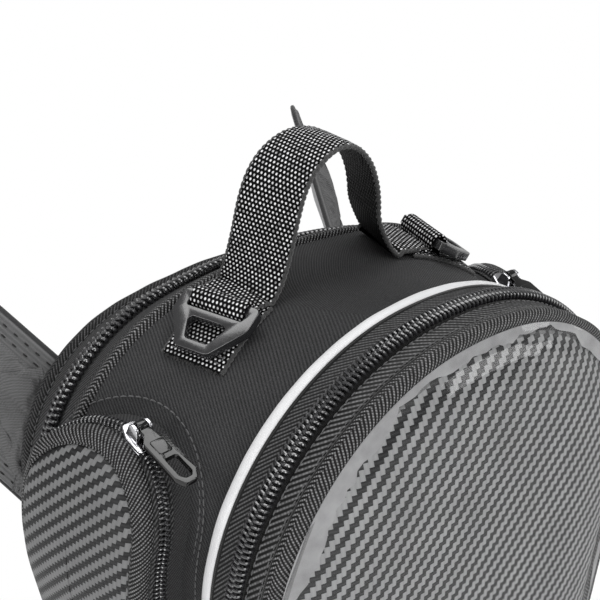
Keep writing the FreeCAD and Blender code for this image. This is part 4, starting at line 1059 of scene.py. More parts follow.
def film_wrinkle(x, z):
    """Soft folds in the film: a slow unevenness and creases that run down from its edge."""
    folds = 0.3 * (1 + noise.noise(Vector((x * 0.03, z * 0.012, 4.0))))
    for crease in CREASES:
        along = (crease.high - z) / (crease.high - crease.low)
        if 0 < along < 1:
            off = (x - crease.x + crease.lean * (crease.high - z)) / crease.wide
            folds += crease.deep * (1 - along) * math.exp(-off * off)
    return min(1.4, folds)


# ---------------------------------------------------------------- places read from the frame
def node_points(name):
    """The rest position of a CAD node's points, in the row frame."""
    thing = frame["nodes"][name]
    return np.array([thing.matrix_world @ vertex.co for vertex in thing.data.vertices])


def basis(origin, along, across, out):
    """The matrix that puts a piece made round the origin at a place."""
    turn = Matrix((along, across, out)).transposed().to_4x4()
    return Matrix.Translation(origin) @ turn


def hinge_place(joint, node, node_below):
    """A frame on a joint: x towards one node, z away from another, y along the axis."""
    origin = Vector(JOINTS[joint]["pos_m"])
    axis = Vector(JOINTS[joint]["axis"]).normalized()
    towards = Vector(node_points(node).mean(axis=0)) - origin
    along = (towards - axis * towards.dot(axis)).normalized()
    out = along.cross(axis)
    below = Vector(node_points(node_below).mean(axis=0)) - origin
    if out.dot(below) > 0:
        out = -out
    return basis(origin, along, out.cross(along), out)


# ---------------------------------------------------------------- carrying handle and rings
HANDLE_Y = -16.0 * MM
# the tabs' line across the bag, the x that they splay about, and their splay
TAB_Y, TAB_PIVOT, TAB_SPLAY = -20.0 * MM, 46.5 * MM, math.radians(15)
# in millimetres: the ends of a tab from the bag's middle, and the webbing's thickness
TAB_OUTER_END, TAB_INNER_END, WEBBING_THICK = 64.5, 37.0, 1.75
# the handle's middle line in millimetres and its turn in degrees, from the right foot to the left one
STRAP = ((45, 290, -15), (38, 297, -15), (32, 301.8, -16), (26.5, 307.5, -18),
         (22.3, 314.5, -18), (19.2, 321.5, -18), (18.8, 328, -17), (17.4, 334.5, -16),
         (14.2, 341.5, -14), (9.4, 346.8, -9), (3, 351, -2), (-4, 352, 4), (-10.5, 350.2, 9),
         (-16.5, 346.4, 12), (-21.2, 340.5, 15), (-24.4, 332, 17), (-27, 321, 17),
         (-30, 311.5, 17), (-33.5, 305, 16), (-38, 300.5, 15), (-44, 290, 15))


def smooth_line(points, rounds=3):
    """A polyline with its corners cut until it is smooth."""
    line = np.array(points, dtype=float)
    for _ in range(rounds):
        near, far = line[:-1] * 0.75 + line[1:] * 0.25, line[:-1] * 0.25 + line[1:] * 0.75
        between_ends = np.stack((near, far), axis=1).reshape(-1, line.shape[1])
        line = np.concatenate((line[:1], between_ends, line[-1:]))
    return line


def strap_track():
    """The handle's middle line from its right foot to its left one, turned as it goes."""
    x, z, turn = smooth_line(STRAP).T
    x, turn = x * MM, np.radians(turn)
    floor = np.array([wall_z(value, HANDLE_Y) for value in x]) + 1.9 * MM
    line = np.column_stack((x, np.full(len(x), HANDLE_Y), np.maximum(z * MM, floor)))
    to_rear = np.column_stack((-np.sin(turn), np.cos(turn), np.zeros(len(x))))
    return Track(line, to_rear, MM)


def webbing_section():
    """The webbing's section, a little crowned on its outer side."""
    half, thick, crown = sizes().strap_width / MM / 2, WEBBING_THICK, WEBBING_THICK + 0.35
    corners = [(half, 0.0), (half - 0.4, thick), (half * 0.5, crown), (-half * 0.5, crown),
               (-half + 0.4, thick), (-half, 0.0)]
    return rounded(corners, [0.7, 0.7, 20, 20, 0.7, 0.7], 4)


def selvedge_parts(track):
    """The thicker thread rolled along each edge of the webbing."""
    half = sizes().strap_width / 2 - 0.35 * MM
    steps = np.arange(0.0, track.length, 0.55 * MM)
    points, _, across, out = track.at(steps)
    turn = steps / (2.2 * MM) * TURN
    rise = WEBBING_THICK * MM / 2 + 0.22 * MM * np.sin(turn)[:, None]
    sway = 0.16 * MM * np.cos(turn)[:, None]
    return [tube_parts(points + across * (side * half + sway) + out * rise, across,
                       0.85 * MM, 7) for side in (-1, 1)]


def tab_track(outer_end, inner_end):
    """A line across the top of the bag under one end of the handle, splayed as it is sewn."""
    half_wide = 6 * MM
    reach = np.linspace(outer_end, inner_end, 24) * MM - TAB_PIVOT
    away = np.array((math.cos(TAB_SPLAY), -math.sin(TAB_SPLAY)))
    to_rear = np.array((math.sin(TAB_SPLAY), math.cos(TAB_SPLAY))) * half_wide
    flat = np.array((TAB_PIVOT, TAB_Y)) + reach[:, None] * away
    points = np.array([(x, y, wall_z(x, y)) for x, y in flat])
    rise = [wall_z(*(spot + to_rear)) - wall_z(*(spot - to_rear)) for spot in flat]
    across = np.column_stack((np.tile(to_rear * 2, (len(flat), 1)), rise))
    return Track(points, across, MM)


def frayed_parts(track, seed):
    """Loose thread ends at the cut end of a piece of webbing."""
    threads, spread = 90, 23 * MM
    random = np.random.default_rng(seed)
    centre, along, across, out = (value[0] for value in track.at(np.array([0.0])))
    parts = []
    for _ in range(threads):
        side = (random.random() - 0.5) * spread
        low = random.random() * 1.6 * MM
        lean = (random.random(3) - 0.5) * (0.8, 1.4, 1.0)
        start = centre + across * side + out * low + along * 0.6 * MM
        reach = (0.9 + 1.3 * random.random()) * MM
        heading = unit(-along + across * lean[1] + out * lean[2] * 0.5)
        bend = out * (-0.35 * reach * random.random())
        line = np.array([start, start + heading * reach * 0.5, start + heading * reach + bend])
        parts.append(tube_parts(line, across, 0.16 * MM, 5))
    return parts


def box_stitch_parts(track, low, high, half, out):
    """Seams round a rectangle on a strip, with one seam across its middle."""
    pitch, long, thick, count = 2.6, 2.0, 0.62, 20
    points, _, across, _ = track.at(np.linspace(low, high, count) * MM)
    inner = Track(points, across, MM)
    parts = []
    for side in (-half, half):
        parts += stitch_parts(inner, side, out, pitch, long, thick)
    for place in (low, (low + high) / 2, high):
        points, along, across, _ = track.at(np.array([place * MM]))
        line = points + across * np.linspace(-half, half, count)[:, None] * MM
        crossing = Track(line, np.repeat(-along, count, axis=0), MM)
        parts += stitch_parts(crossing, 0.0, out, pitch, long, thick)
    return parts


def make_handle():
    """The webbing handle, its two tabs, its rings and the loops that hold them."""
    track = strap_track()
    strap = merged("handle_webbing", [swept_parts(track, webbing_section(), 0.12)])
    selvedge = merged("handle_selvedge", selvedge_parts(track))
    for mesh, look, nodes in ((strap, "webbing_weave", ["handle_strap"]),
                              (selvedge, "selvedge_thread", [])):
        shown = piece(mesh.name, mesh, finish(look), None, nodes)
        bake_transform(shown)
    tab = tab_track(TAB_OUTER_END, TAB_INNER_END)
    for seed, side in ((7, "right"), (8, "left")):
        made = (("tab", [swept_parts(tab, webbing_section(), 0.1)], "webbing_weave",
                 ["handle_tabs"]),
                ("tab_selvedge", selvedge_parts(tab), "selvedge_thread", []),
                ("tab_fray", frayed_parts(tab, seed), "selvedge_thread", []),
                ("tab_seam", box_stitch_parts(tab, 2.6, 7.2, 10.2, 2.0), "sewing_thread", []))
        for label, parts, look, nodes in made:
            mesh = merged(label, parts)
            if side == "left":
                mesh = mirrored(mesh)
            piece("%s_%s_%s" % (label, side, side[0]), mesh, finish(look), "body", nodes)
    make_rings()


def make_rings():
    """The strap rings and the loops of webbing that hold them."""
    half, tip, length, bar = 15.5, 6.5, 20.0, 1.8
    outside = rounded([(-bar, -half), (7.2, -half), (length, -tip), (length, tip), (7.2, half),
                       (-bar, half)], [2.2, 4.5, 3.0, 3.0, 4.5, 2.2], 6)
    slot_hole = rounded([(bar, -11.5), (4.6, -11.5), (4.6, 11.5), (bar, 11.5)], 0.9, 5)
    hole = rounded([(7.9, -8.3), (16.4, -4.7), (16.4, 4.7), (7.9, 8.3)],
                   [1.6, 1.8, 1.8, 1.6], 6)
    ring = plate_mesh("ring", [outside, slot_hole, hole], 3.6, 1.15)
    for side in ("right", "left"):
        joint, node = "ring_%s_hinge" % side, "d_ring_" + side
        copy = ring.copy()
        copy.transform(hinge_place(joint, node, "handle_tabs"))
        piece("strap_ring_" + side, copy, finish("ring_plastic_satin"), "ring_" + side, [node])
        make_keeper(side, Vector(JOINTS[joint]["pos_m"]))


def make_keeper(side, bar):
    """A loop of webbing round the ring's bar, its tail sewn down towards the handle."""
    half_wide, half_thick, radius = 11.0, 0.6, 3.35
    line = tab_track(62.0, 36.0)
    flip = Matrix.Scale(-1, 4, (1, 0, 0)) if side == "left" else Matrix.Identity(4)
    pivot = np.array(flip @ bar)
    spot = int(np.argmin(np.linalg.norm(line.points - pivot, axis=1)))
    inner, lift = line.along[spot], line.out[spot]
    tall = float(np.dot(pivot - line.points[spot], lift)) / MM
    low = 2.25 - tall
    loop = [(9.5, low), (6.5, low), (3.2, low + 0.15)]
    loop += [(radius * math.cos(turn), radius * math.sin(turn))
             for turn in np.radians(np.linspace(-62, 242, 30))]
    loop += [(-2.2, low + 0.6), (-2.6, low)]
    path = smooth_line(loop, 2) * MM
    points = pivot + path[:, :1] * inner + path[:, 1:] * lift
    loop_track = Track(points, np.tile(-line.across[spot], (len(points), 1)), 0.6 * MM)
    section = rounded([(half_wide, -half_thick), (half_wide, half_thick),
                       (-half_wide, half_thick), (-half_wide, -half_thick)], 0.5, 3)
    loop = merged("keeper_" + side, [swept_parts(loop_track, section)])
    tail = Track(points[:12], np.tile(line.across[spot], (12, 1)), MM)
    seam = merged("keeper_seam_" + side, stitch_parts(tail, -9.0, 0.7, 2.4, 1.9, 0.55)
                  + stitch_parts(tail, 9.0, 0.7, 2.4, 1.9, 0.55))
    if side == "left":
        loop, seam = mirrored(loop), mirrored(seam)
    piece("keeper_loop_" + side, loop, finish("webbing_weave"), "body", ["ring_keepers"])
    piece("keeper_seam_" + side, seam, finish("sewing_thread"), "body", [])


# ---------------------------------------------------------------- sliders and pulls
def slider_parts():
    """A slider's crown, bridge and pin, their middle at the bridge's pin."""
    crown = rounded([(-6.5, -2.4), (-1.5, -4.5), (5.6, -4.5), (6.5, -3.4), (6.5, 3.4),
                     (5.6, 4.5), (-1.5, 4.5), (-6.5, 2.4)],
                    [1.6, 2.5, 1.0, 0.9, 0.9, 1.0, 2.5, 1.6], 5)
    plate = plate_mesh("crown", [crown], 1.6, 0.55)
    flange = plate_mesh("flange", [rounded([(-2.0, -0.55), (6.0, -0.55), (6.0, 0.55),
                                            (-2.0, 0.55)], 0.35, 3)], 1.6, 0.3)
    cheek = plate_mesh("cheek", [rounded([(-3.1, 0.0), (-2.1, 4.9), (-1.2, 5.7), (1.2, 5.7),
                                          (2.1, 4.9), (3.1, 0.0)],
                                         [0.3, 1.4, 1.4, 1.4, 1.4, 0.3], 4)], 1.3, 0.4)
    upright = Matrix.Rotation(math.radians(90), 4, "X")
    pin = merged("pin", [tube_parts(np.array([(0, y * MM, 0) for y in (-3.3, 0, 3.3)]),
                                    np.array([(1.0, 0, 0)] * 3), 1.0 * MM, 16)])
    low = -4.6 * MM
    placed = [(plate, Matrix.Translation((0, 0, low))), (pin, Matrix.Identity(4))]
    for side in (-1, 1):
        placed.append((cheek, Matrix.Translation((0, side * 2.75 * MM, low + 0.4 * MM))
                       @ upright))
        placed.append((flange, Matrix.Translation((0, side * 3.95 * MM, low - 1.2 * MM))))
    return placed


def pull_parts():
    """A pull: its eye on the pin and a frame-shaped tab with a hole near its end."""
    outside = rounded([(2.0, -1.8), (4.2, -1.8), (7.0, -4.25), (23.6, -4.25), (27.0, -2.4),
                       (27.0, 2.4), (23.6, 4.25), (7.0, 4.25), (4.2, 1.8), (2.0, 1.8)],
                      [0.3, 1.2, 2.5, 2.6, 2.0, 2.0, 2.6, 2.5, 1.2, 0.3], 5)
    hole = rounded([(15.5, -2.5), (23.6, -2.5), (25.2, -1.2), (25.2, 1.2), (23.6, 2.5),
                    (15.5, 2.5)], [1.2, 1.4, 1.0, 1.0, 1.4, 1.2], 6)
    tab = plate_mesh("tab", [outside, hole], 2.0, 0.55)
    inlay = plate_mesh("inlay", [rounded([(7.4, -2.7), (13.8, -2.7), (13.8, 2.7), (7.4, 2.7)],
                                         1.1, 4)], 2.6, 0.5)
    return [(mesh, Matrix.Identity(4)) for mesh in (tab, pull_eye(1.75, 1.7, 0.42), inlay)]


def pull_eye(radius, half, thick):
    """A flat band bent into a closed ring round the slider's pin."""
    turn = np.arange(24) / 24 * TURN
    outward = np.column_stack((np.cos(turn), np.zeros(len(turn)), np.sin(turn)))
    section = rounded([(half, -thick), (half, thick), (-half, thick), (-half, -thick)], 0.25, 3)
    points = outward[:, None, :] * (radius + section[None, :, 1, None])
    points[:, :, 1] = section[None, :, 0]
    uvs = np.zeros((len(turn) + 1, len(section) + 1, 2))
    return merged("eye", [grid(points * MM, uvs, True, True)])


def make_sliders():
    """The four zip sliders and the pulls that swing on them."""
    made = (("slider", joined("slider", slider_parts()), "plated_metal", "slider_metal"),
            ("puller", joined("pull", pull_parts()), "black_enamel", "pull_metal"))
    for name in ("front", "rear", "pocket_right", "pocket_left"):
        place = hinge_place(name + "_puller_hinge", name + "_puller", name + "_slider")
        for part, mesh, look, slot in made:
            copy = mesh.copy()
            copy.transform(place)
            if place.to_3x3().determinant() < 0:
                copy.flip_normals()
            body = "%s_%s" % (name, part)
            piece(body + "_made", copy, finish(look), body, [body])


# ---------------------------------------------------------------- side pockets
POCKET_Y, POCKET_Z, POCKET_RADIUS = -21.0 * MM, 244.0 * MM, 29.5 * MM
POCKET_FOOT, POCKET_CORNER = 108.0 * MM, 16.0 * MM


def moon(amount, spacing=1.6):
    """The pocket's outline seen from the side, moved outwards: y, z and outward direction."""
    grow = amount * MM
    corner_z = POCKET_FOOT + POCKET_CORNER
    inset = POCKET_RADIUS - POCKET_CORNER
    radius, corner = POCKET_RADIUS + grow, max(POCKET_CORNER + grow, 0.5 * MM)

    def arc(y, z, size, start, end):
        count = max(4, int(abs(end - start) * size / (spacing * MM)))
        turn = np.radians(np.linspace(math.degrees(start), math.degrees(end), count + 1))
        facing = np.column_stack((np.cos(turn), np.sin(turn)))
        return np.column_stack((np.array((y, z)) + facing * size, facing))

    def straight(start, end, facing):
        count = max(2, int(np.linalg.norm(np.subtract(end, start)) / (spacing * MM)))
        line = np.linspace(start, end, count + 1)[1:-1]
        return np.column_stack((line, np.tile(facing, (len(line), 1))))

    quarter = math.pi / 2
    front_corner = arc(POCKET_Y - inset, corner_z, corner, 3 * quarter, 2 * quarter)
    top = arc(POCKET_Y, POCKET_Z, radius, 2 * quarter, 0.0)
    rear_corner = arc(POCKET_Y + inset, corner_z, corner, 0.0, -quarter)
    return np.concatenate((
        front_corner, straight(front_corner[-1, :2], top[0, :2], (-1, 0)), top,
        straight(top[-1, :2], rear_corner[0, :2], (1, 0)), rear_corner,
        straight(rear_corner[-1, :2], front_corner[0, :2], (0, -1))))


def pocket_rim(name, low, high, section):
    """A strip round the pocket; its section is (share of the depth, distance outwards)."""
    rows = []
    for y, z, out_y, out_z in moon(0.0):
        row = []
        for share, out in section:
            at_y, at_z = y + out_y * out * MM, z + out_z * out * MM
            row.append((wall_x(at_y, at_z, layer(low, high, share)), at_y, at_z))
        rows.append(row)
    points = np.array(rows)
    steps = np.linalg.norm(np.diff(points[:, 0], axis=0, append=points[:1, 0]), axis=1)
    run = np.concatenate(([0.0], np.cumsum(steps)))
    middle = points[len(points) // 2]
    around = np.linalg.norm(np.diff(middle, axis=0, append=middle[:1]), axis=1)
    width = np.concatenate(([0.0], np.cumsum(around)))
    uvs = np.stack(np.meshgrid(run, width, indexing="ij"), axis=-1)
    return merged(name, [grid(points, uvs, True, True)])


def pocket_track(depth, out):
    """A line round the pocket at one depth, across it the way out of the bag."""
    points = np.array([(wall_x(y, z, depth), y, z) for y, z, _, _ in moon(out, 1.0)])
    across = np.tile((1.0, 0.0, 0.0), (len(points), 1))
    return Track(points, across, MM, closed=True)


def pocket_panel(name):
    """The bulged face of a pocket inside its binding."""
    insets = [3.2, 3.4, 4.2, 5.2, 7.0, 9.5, 12.5, 16.0, 20.0, 24.0, 27.5, 29.2]
    rises = [-2.5, -1.3, -0.5, 0.2, 0.8, 1.2, 1.5, 1.7, 1.8, 1.8, 1.8, 1.8]
    count, round_until, spine_at = 240, 15.0, 29.6
    rings = []
    for inset, rise in zip(insets, rises):
        outline = moon(-min(inset, round_until), 1.0)[:, :2]
        if inset > round_until:
            spine = np.column_stack((np.full(len(outline), POCKET_Y), np.clip(
                outline[:, 1], POCKET_FOOT + POCKET_RADIUS, POCKET_Z)))
            left = (spine_at - inset) / (spine_at - round_until)
            outline = spine + (outline - spine) * left
        closed = np.concatenate((outline, outline[:1]))
        steps = np.linalg.norm(np.diff(closed, axis=0), axis=1)
        run = np.concatenate(([0.0], np.cumsum(steps)))
        even = np.linspace(0.0, run[-1], count, endpoint=False)
        flat = np.column_stack([np.interp(even, run, closed[:, k]) for k in (0, 1)])
        depth = layer(POCKET, POCKET, 0.0, rise)
        rings.append([(wall_x(y, z, depth), y, z) for y, z in flat])
    points = np.array(rings)
    uvs = points[:, :, 1:] * (-1, 1)
    uvs = np.concatenate((uvs, uvs[:, :1]), axis=1)
    surface, faces, face_uvs = grid(points, uvs, False, True)
    cap = list(range((len(rings) - 1) * count, len(rings) * count))[::-1]
    faces.append(cap)
    face_uvs = np.concatenate((face_uvs, surface[cap][:, 1:] * (-1, 1)))
    return build_mesh(name, surface, faces, face_uvs)


def make_pockets():
    """Both side pockets: gusset, zip, braid and carbon-look face."""
    seen_share = 0.6
    gusset = pocket_rim("gusset", WALL, GUSSET, [(-0.1, 0.0), (0.55, 0.25), (1.0, 0.0),
                                                 (1.0, -2.0), (-0.1, -2.0)])
    tape_out = pocket_rim("tape_out", GUSSET, CHAIN, [
        (0.0, 0.2), (0.15, 0.9), (0.75, 1.0), (0.95, 0.3), (0.95, -2.0), (0.0, -2.0)])
    tape_in = pocket_rim("tape_in", CHAIN, BINDING, [
        (0.05, 0.3), (0.25, 1.0), (0.8, 0.95), (1.0, 0.2), (1.0, -2.0), (0.05, -2.0)])
    corner = [(0.04, 1.0), (0.25, 1.6), (0.62, 1.6), (0.9, 1.0), (1.03, -0.3), (1.05, -2.2),
              (0.95, -3.6), (0.7, -4.0), (0.0, -4.0), (0.0, 0.4)]
    edge = pocket_rim("edge", BINDING, POCKET, rounded(corner, 0.25, 2))
    track = pocket_track(CHAIN, 0.2)
    count = int(seen_share * len(track.points))
    chain = Track(track.points[:count], track.across[:count], MM)
    coils = {side: merged("coil", [coil_parts(chain, side, sizes().pocket_pitch, 2.1, 1.9, 0.1,
                                              0.36, lap=0.35)]) for side in (-1, 1)}
    panel = pocket_panel("panel")
    arc = pocket_track(WALL, 4.4)
    seam = merged("arc", stitch_parts(arc, 0.3, 1.1, 2.9, 2.3, 0.5)
                  + stitch_parts(arc, 0.3, -1.1, 2.9, 2.3, 0.5))
    for side in ("right", "left"):
        cover, prefix = "pocket_%s_cover" % side, "pocket_%s_" % side
        made = (("gusset_cloth", gusset, "wall_twill", "body", ["gusset"], "oxford"),
                ("tape_outer_cloth", tape_out, "tape_twill", "body", ["zip_outer"], "zip_tape"),
                ("coil_body", coils[-1], "coil_plastic", "body", [], "zip_chain"),
                ("wall_seam", seam, "sewing_thread", "body", [], "oxford"),
                ("coil_cover", coils[1], "coil_plastic", cover, [], "zip_chain"),
                ("tape_inner_cloth", tape_in, "tape_twill", cover, ["zip_inner"], "zip_tape"),
                ("braid", edge, "binding_braid", cover, ["binding"], "woven_binding"),
                ("face", panel, "pocket_carbon", cover, ["panel"], "carbon_vinyl"))
        for label, mesh, look, body, nodes, slot in made:
            copy = mirrored(mesh) if side == "left" else mesh.copy()
            shown = piece(prefix + label, copy, finish(look), body,
                          [prefix + node for node in nodes])


# ---------------------------------------------------------------- magnet flaps
# places, sizes and radii in millimetres, and angles in degrees
Wing = namedtuple("Wing", "x z lean flare back tip")
LOWER_WING = Wing(63.5, 62.0, -10.3, 18.0, 60.0, 16.0)
WINGS = {"upper_right": Wing(92.0, 214.0, 24.0, 42.0, 55.0, 7.0),
         "upper_left": Wing(94.0, 205.0, 20.0, 28.0, 60.0, 16.0),
         "lower_right": LOWER_WING, "lower_left": LOWER_WING}
WING_ROOT, WING_LONG, WING_CORNER = 58.0, 74.0, 16.0
WING_BORDER, WING_RIB, WING_MIDDLE = 9.5, 1.9, 3.2
WING_REAR_Y = 44.3


def wing_place(wing):
    """A right flap's frame: along its seam, away from the bag, towards the tank."""
    lean, back = math.radians(wing.lean), math.radians(wing.back)
    up = Vector((-math.sin(lean), 0, math.cos(lean)))
    side = Vector((math.cos(lean), 0, math.sin(lean)))
    away = side * math.cos(back) + Vector((0, 1, 0)) * math.sin(back)
    root = Vector((wing.x, WING_REAR_Y, wing.z)) * MM
    return basis(root, up, away, up.cross(away))


def wing_rings(wing, insets):
    """Outlines of a flap, each moved in from its edge by an inset, one after another."""
    count, middle_reach = 220, 22.0
    corners = [(0, 0), (WING_ROOT, 0), (WING_ROOT + wing.flare, WING_LONG),
               (wing.flare, WING_LONG)]
    outline = rounded(corners, [2.0, 2.0, wing.tip, WING_CORNER], 14)
    closed = np.concatenate((outline, outline[:1]))
    run = np.concatenate(([0.0], np.cumsum(np.linalg.norm(np.diff(closed, axis=0), axis=1))))
    even = np.linspace(0, run[-1], count, endpoint=False)
    edge = np.column_stack([np.interp(even, run, closed[:, k]) for k in (0, 1)])
    centre = np.array((WING_ROOT / 2 + wing.flare / 2, WING_LONG / 2))
    ahead, behind = np.roll(edge, -1, axis=0), np.roll(edge, 1, axis=0)
    inward = unit(np.column_stack((-(ahead - behind)[:, 1], (ahead - behind)[:, 0])))
    inward *= np.sign(np.sum(inward * (centre - edge), axis=1, keepdims=True))
    border = edge + inward * WING_BORDER
    rings = []
    for inset in insets:
        if inset <= WING_BORDER:
            rings.append(edge + inward * inset)
        else:
            left = max(0.02, 1 - (inset - WING_BORDER) / middle_reach)
            rings.append(centre + (border - centre) * left)
    return np.array(rings), even


def wing_side(wing, facing, heights, seed, folds):
    """One padded face of a flap: flat ribbed border, soft middle, closed at its mid-plane."""
    insets = np.concatenate(([-0.3], np.arange(0.0, 9.6, 0.47), np.linspace(10.2, 31.5, 26)))
    rings, run = wing_rings(wing, insets)
    border, crown, rib = heights
    lift = np.zeros(rings.shape[:2])
    for index, inset in enumerate(insets):
        inside = min(1.0, max(0.0, (inset - 9.0) / 13.0))
        swell = math.sin(inside * math.pi / 2) ** 0.8 * (crown - border)
        rounding = -0.9 * max(0.0, 1 - inset / 0.9)
        wave = rib * math.cos(inset / WING_RIB * TURN) if 0.4 < inset < 9.4 else 0.0
        for spot, (u, v) in enumerate(rings[index]):
            wrinkle = noise.noise(Vector((u * 0.045, v * 0.06, seed))) * 1.3
            wrinkle += noise.noise(Vector((u * 0.15, v * 0.05, seed + 3))) * 0.5
            for at_u, at_v, lean, wide, deep in folds:
                off = (u - at_u - lean * (v - at_v)) / wide
                wrinkle -= deep * math.exp(-off * off)
            lift[index, spot] = border + swell + rounding + wave + wrinkle * inside
    points = np.concatenate((rings, (WING_MIDDLE + facing * lift)[:, :, None]), axis=2)
    base = points[:1].copy()
    base[:, :, 2] = WING_MIDDLE
    points = np.concatenate((base, points)) * MM
    depth = np.concatenate(([-1.5], insets)) * MM
    uvs = np.stack(np.meshgrid(depth, np.append(run, run[-1] + 1.2) * MM, indexing="ij"),
                   axis=-1)[:, :, ::-1]
    surface, faces, face_uvs = grid(points, uvs, False, True)
    count = points.shape[1]
    caps = [list(range(count)), list(range(len(surface) - count, len(surface)))[::-1]]
    ends = np.concatenate((np.zeros((count, 2)), np.full((count, 2), 30 * MM)))
    return surface, faces + caps, np.concatenate((face_uvs, ends))


def wing_seams(wing, height):
    """The stitches along a flap's ribbed border, on its outer side."""
    parts = []
    for ring in wing_rings(wing, [2.9, 6.7])[0]:
        line = np.column_stack((ring, np.full(len(ring), height))) * MM
        flat = Track(line, np.tile((0.0, 0.0, 1.0), (len(line), 1)), MM, closed=True)
        nearest = np.minimum(np.arange(len(line)), len(flat.out) - 1)
        parts += stitch_parts(Track(line, flat.out[nearest], MM, closed=True), 0.0, 0.0, 5.6,
                              2.6, 0.9)
    return parts


def puffed(mesh):
    """Let the soft middle of a flap's face swell and settle as cloth, its border held."""
    held_border, furthest = 10 * MM, 2.5 * MM
    scene = bpy.context.scene
    thing = bpy.data.objects.new("trial", mesh)
    scene.collection.objects.link(thing)
    held = thing.vertex_groups.new(name="held")
    uv_layer = mesh.uv_layers[0].data
    depth = np.full(len(mesh.vertices), 1.0)
    for loop in mesh.loops:
        at = loop.vertex_index
        depth[at] = min(depth[at], uv_layer[loop.index].uv[1])
    for index, inset in enumerate(depth):
        if inset < held_border:
            held.add([index], 1.0, "REPLACE")
    start = np.array([vertex.co[:] for vertex in mesh.vertices])
    cloth = thing.modifiers.new("puff", "CLOTH")
    cloth.settings.vertex_group_mass = "held"
    cloth.settings.quality = 6
    cloth.settings.mass = 0.2
    cloth.settings.tension_stiffness = 12
    cloth.settings.compression_stiffness = 6
    cloth.settings.bending_stiffness = 0.4
    cloth.settings.shrink_min = -0.05
    cloth.settings.use_pressure = True
    cloth.settings.uniform_pressure_force = 3.0
    cloth.settings.effector_weights.gravity = 0.0
    cloth.collision_settings.use_self_collision = False
    for step in range(1, sizes().puff_frames + 1):
        scene.frame_set(step)
    graph = bpy.context.evaluated_depsgraph_get()
    settled = thing.evaluated_get(graph).to_mesh()
    moved = np.array([vertex.co[:] for vertex in settled.vertices]) - start
    thing.evaluated_get(graph).to_mesh_clear()
    thing.modifiers.remove(cloth)
    scene.frame_set(1)
    size = np.linalg.norm(moved, axis=1, keepdims=True)
    moved *= np.minimum(1.0, furthest / np.maximum(size, 1e-9))
    for vertex, shift in zip(mesh.vertices, moved):
        vertex.co = vertex.co + Vector(shift)
    bpy.data.objects.remove(thing)


def make_wings():
    """The four padded flaps that hold the magnets."""
    border, out = 1.7, -1.0
    for seed, (name, wing) in enumerate(WINGS.items()):
        body = "wing_" + name
        folds = [(WING_ROOT * 0.55, 0.0, wing.flare / WING_LONG * 0.7, 3.6, 1.5),
                 (WING_ROOT * 0.2, 20.0, 0.5, 5.0, 0.6)]
        cover = wing_side(wing, out, (border, 4.6, 0.28), seed * 5.0, folds)
        lining = wing_side(wing, -out, (1.2, 3.2, 0.12), seed * 7.0 + 2, [])
        rim = wing_rings(wing, [-0.5])[0][0]
        line = np.column_stack((rim, np.full(len(rim), 3.1))) * MM
        edge = tube_parts(line, np.tile((0.0, 0.0, 1.0), (len(line), 1)), MM, 9, closed=True)
        seams = wing_seams(wing, WING_MIDDLE + out * (border - 0.15))
        for label, parts, look, nodes, slot in (
                ("cover", [cover], "flap_cloth", [body + "_cover"], "wing_fabric"),
                ("lining", [lining], "flap_lining_cloth", [body + "_lining"], "wing_lining"),
                ("seams", seams, "dark_thread", [], "wing_fabric"),
                ("edge", [edge], "flap_edge", [], "wing_fabric")):
            mesh = merged("%s_%s" % (body, label), parts)
            if label == "cover":
                puffed(mesh)
            mesh.transform(wing_place(wing))
            if name.endswith("left"):
                mesh = mirrored(mesh)
            shown = piece("%s_%s_made" % (body, label), mesh, finish(look), body, nodes)
        dress(body + "_magnets", "magnet_metal")


# ---------------------------------------------------------------- floor, lights and camera
def stage_material(name, colour, strength):
    """White wherever the camera looks, and plain matt for the light that it sends."""
    material = bpy.data.materials.new(name)
    material.use_nodes = True
    tree = material.node_tree
    tree.nodes.clear()
    ends = tree.nodes.new("ShaderNodeOutputMaterial")
    rays = tree.nodes.new("ShaderNodeLightPath")
    matt = tree.nodes.new("ShaderNodeBsdfDiffuse")
    matt.inputs["Color"].default_value = (colour, colour, colour, 1.0)
    glow = tree.nodes.new("ShaderNodeEmission")
    glow.inputs["Strength"].default_value = strength
    mix = tree.nodes.new("ShaderNodeMixShader")
    tree.links.new(rays.outputs["Is Camera Ray"], mix.inputs[0])
    tree.links.new(matt.outputs[0], mix.inputs[1])
    tree.links.new(glow.outputs[0], mix.inputs[2])
    tree.links.new(mix.outputs[0], ends.inputs[0])
    return material


def make_floor():
    """A wide white floor just under the bag."""
    size, height = 3.0, -0.6 * MM
    corners = [(x * size, y * size, height) for x, y in ((-1, -1), (1, -1), (1, 1), (-1, 1))]
    floor = bpy.data.objects.new("floor", build_mesh("floor", corners, [[0, 1, 2, 3]]))
    floor.data.materials.append(stage_material("floor_white", 0.75, 1.0))
    bpy.context.scene.collection.objects.link(floor)


def make_world():
    """Soft light from all round, and white behind the bag."""
    world = bpy.data.worlds.new("studio")
    bpy.context.scene.world = world
    world.use_nodes = True
    tree = world.node_tree
    soft = tree.nodes["Background"]
    soft.inputs["Color"].default_value = (1.0, 1.0, 1.0, 1.0)
    soft.inputs["Strength"].default_value = 0.3
    white = tree.nodes.new("ShaderNodeBackground")
    white.inputs["Color"].default_value = (1.0, 1.0, 1.0, 1.0)
    rays = tree.nodes.new("ShaderNodeLightPath")
    mix = tree.nodes.new("ShaderNodeMixShader")
    tree.links.new(rays.outputs["Is Camera Ray"], mix.inputs[0])
    tree.links.new(soft.outputs[0], mix.inputs[1])
    tree.links.new(white.outputs[0], mix.inputs[2])
    tree.links.new(mix.outputs[0], tree.nodes["World Output"].inputs[0])


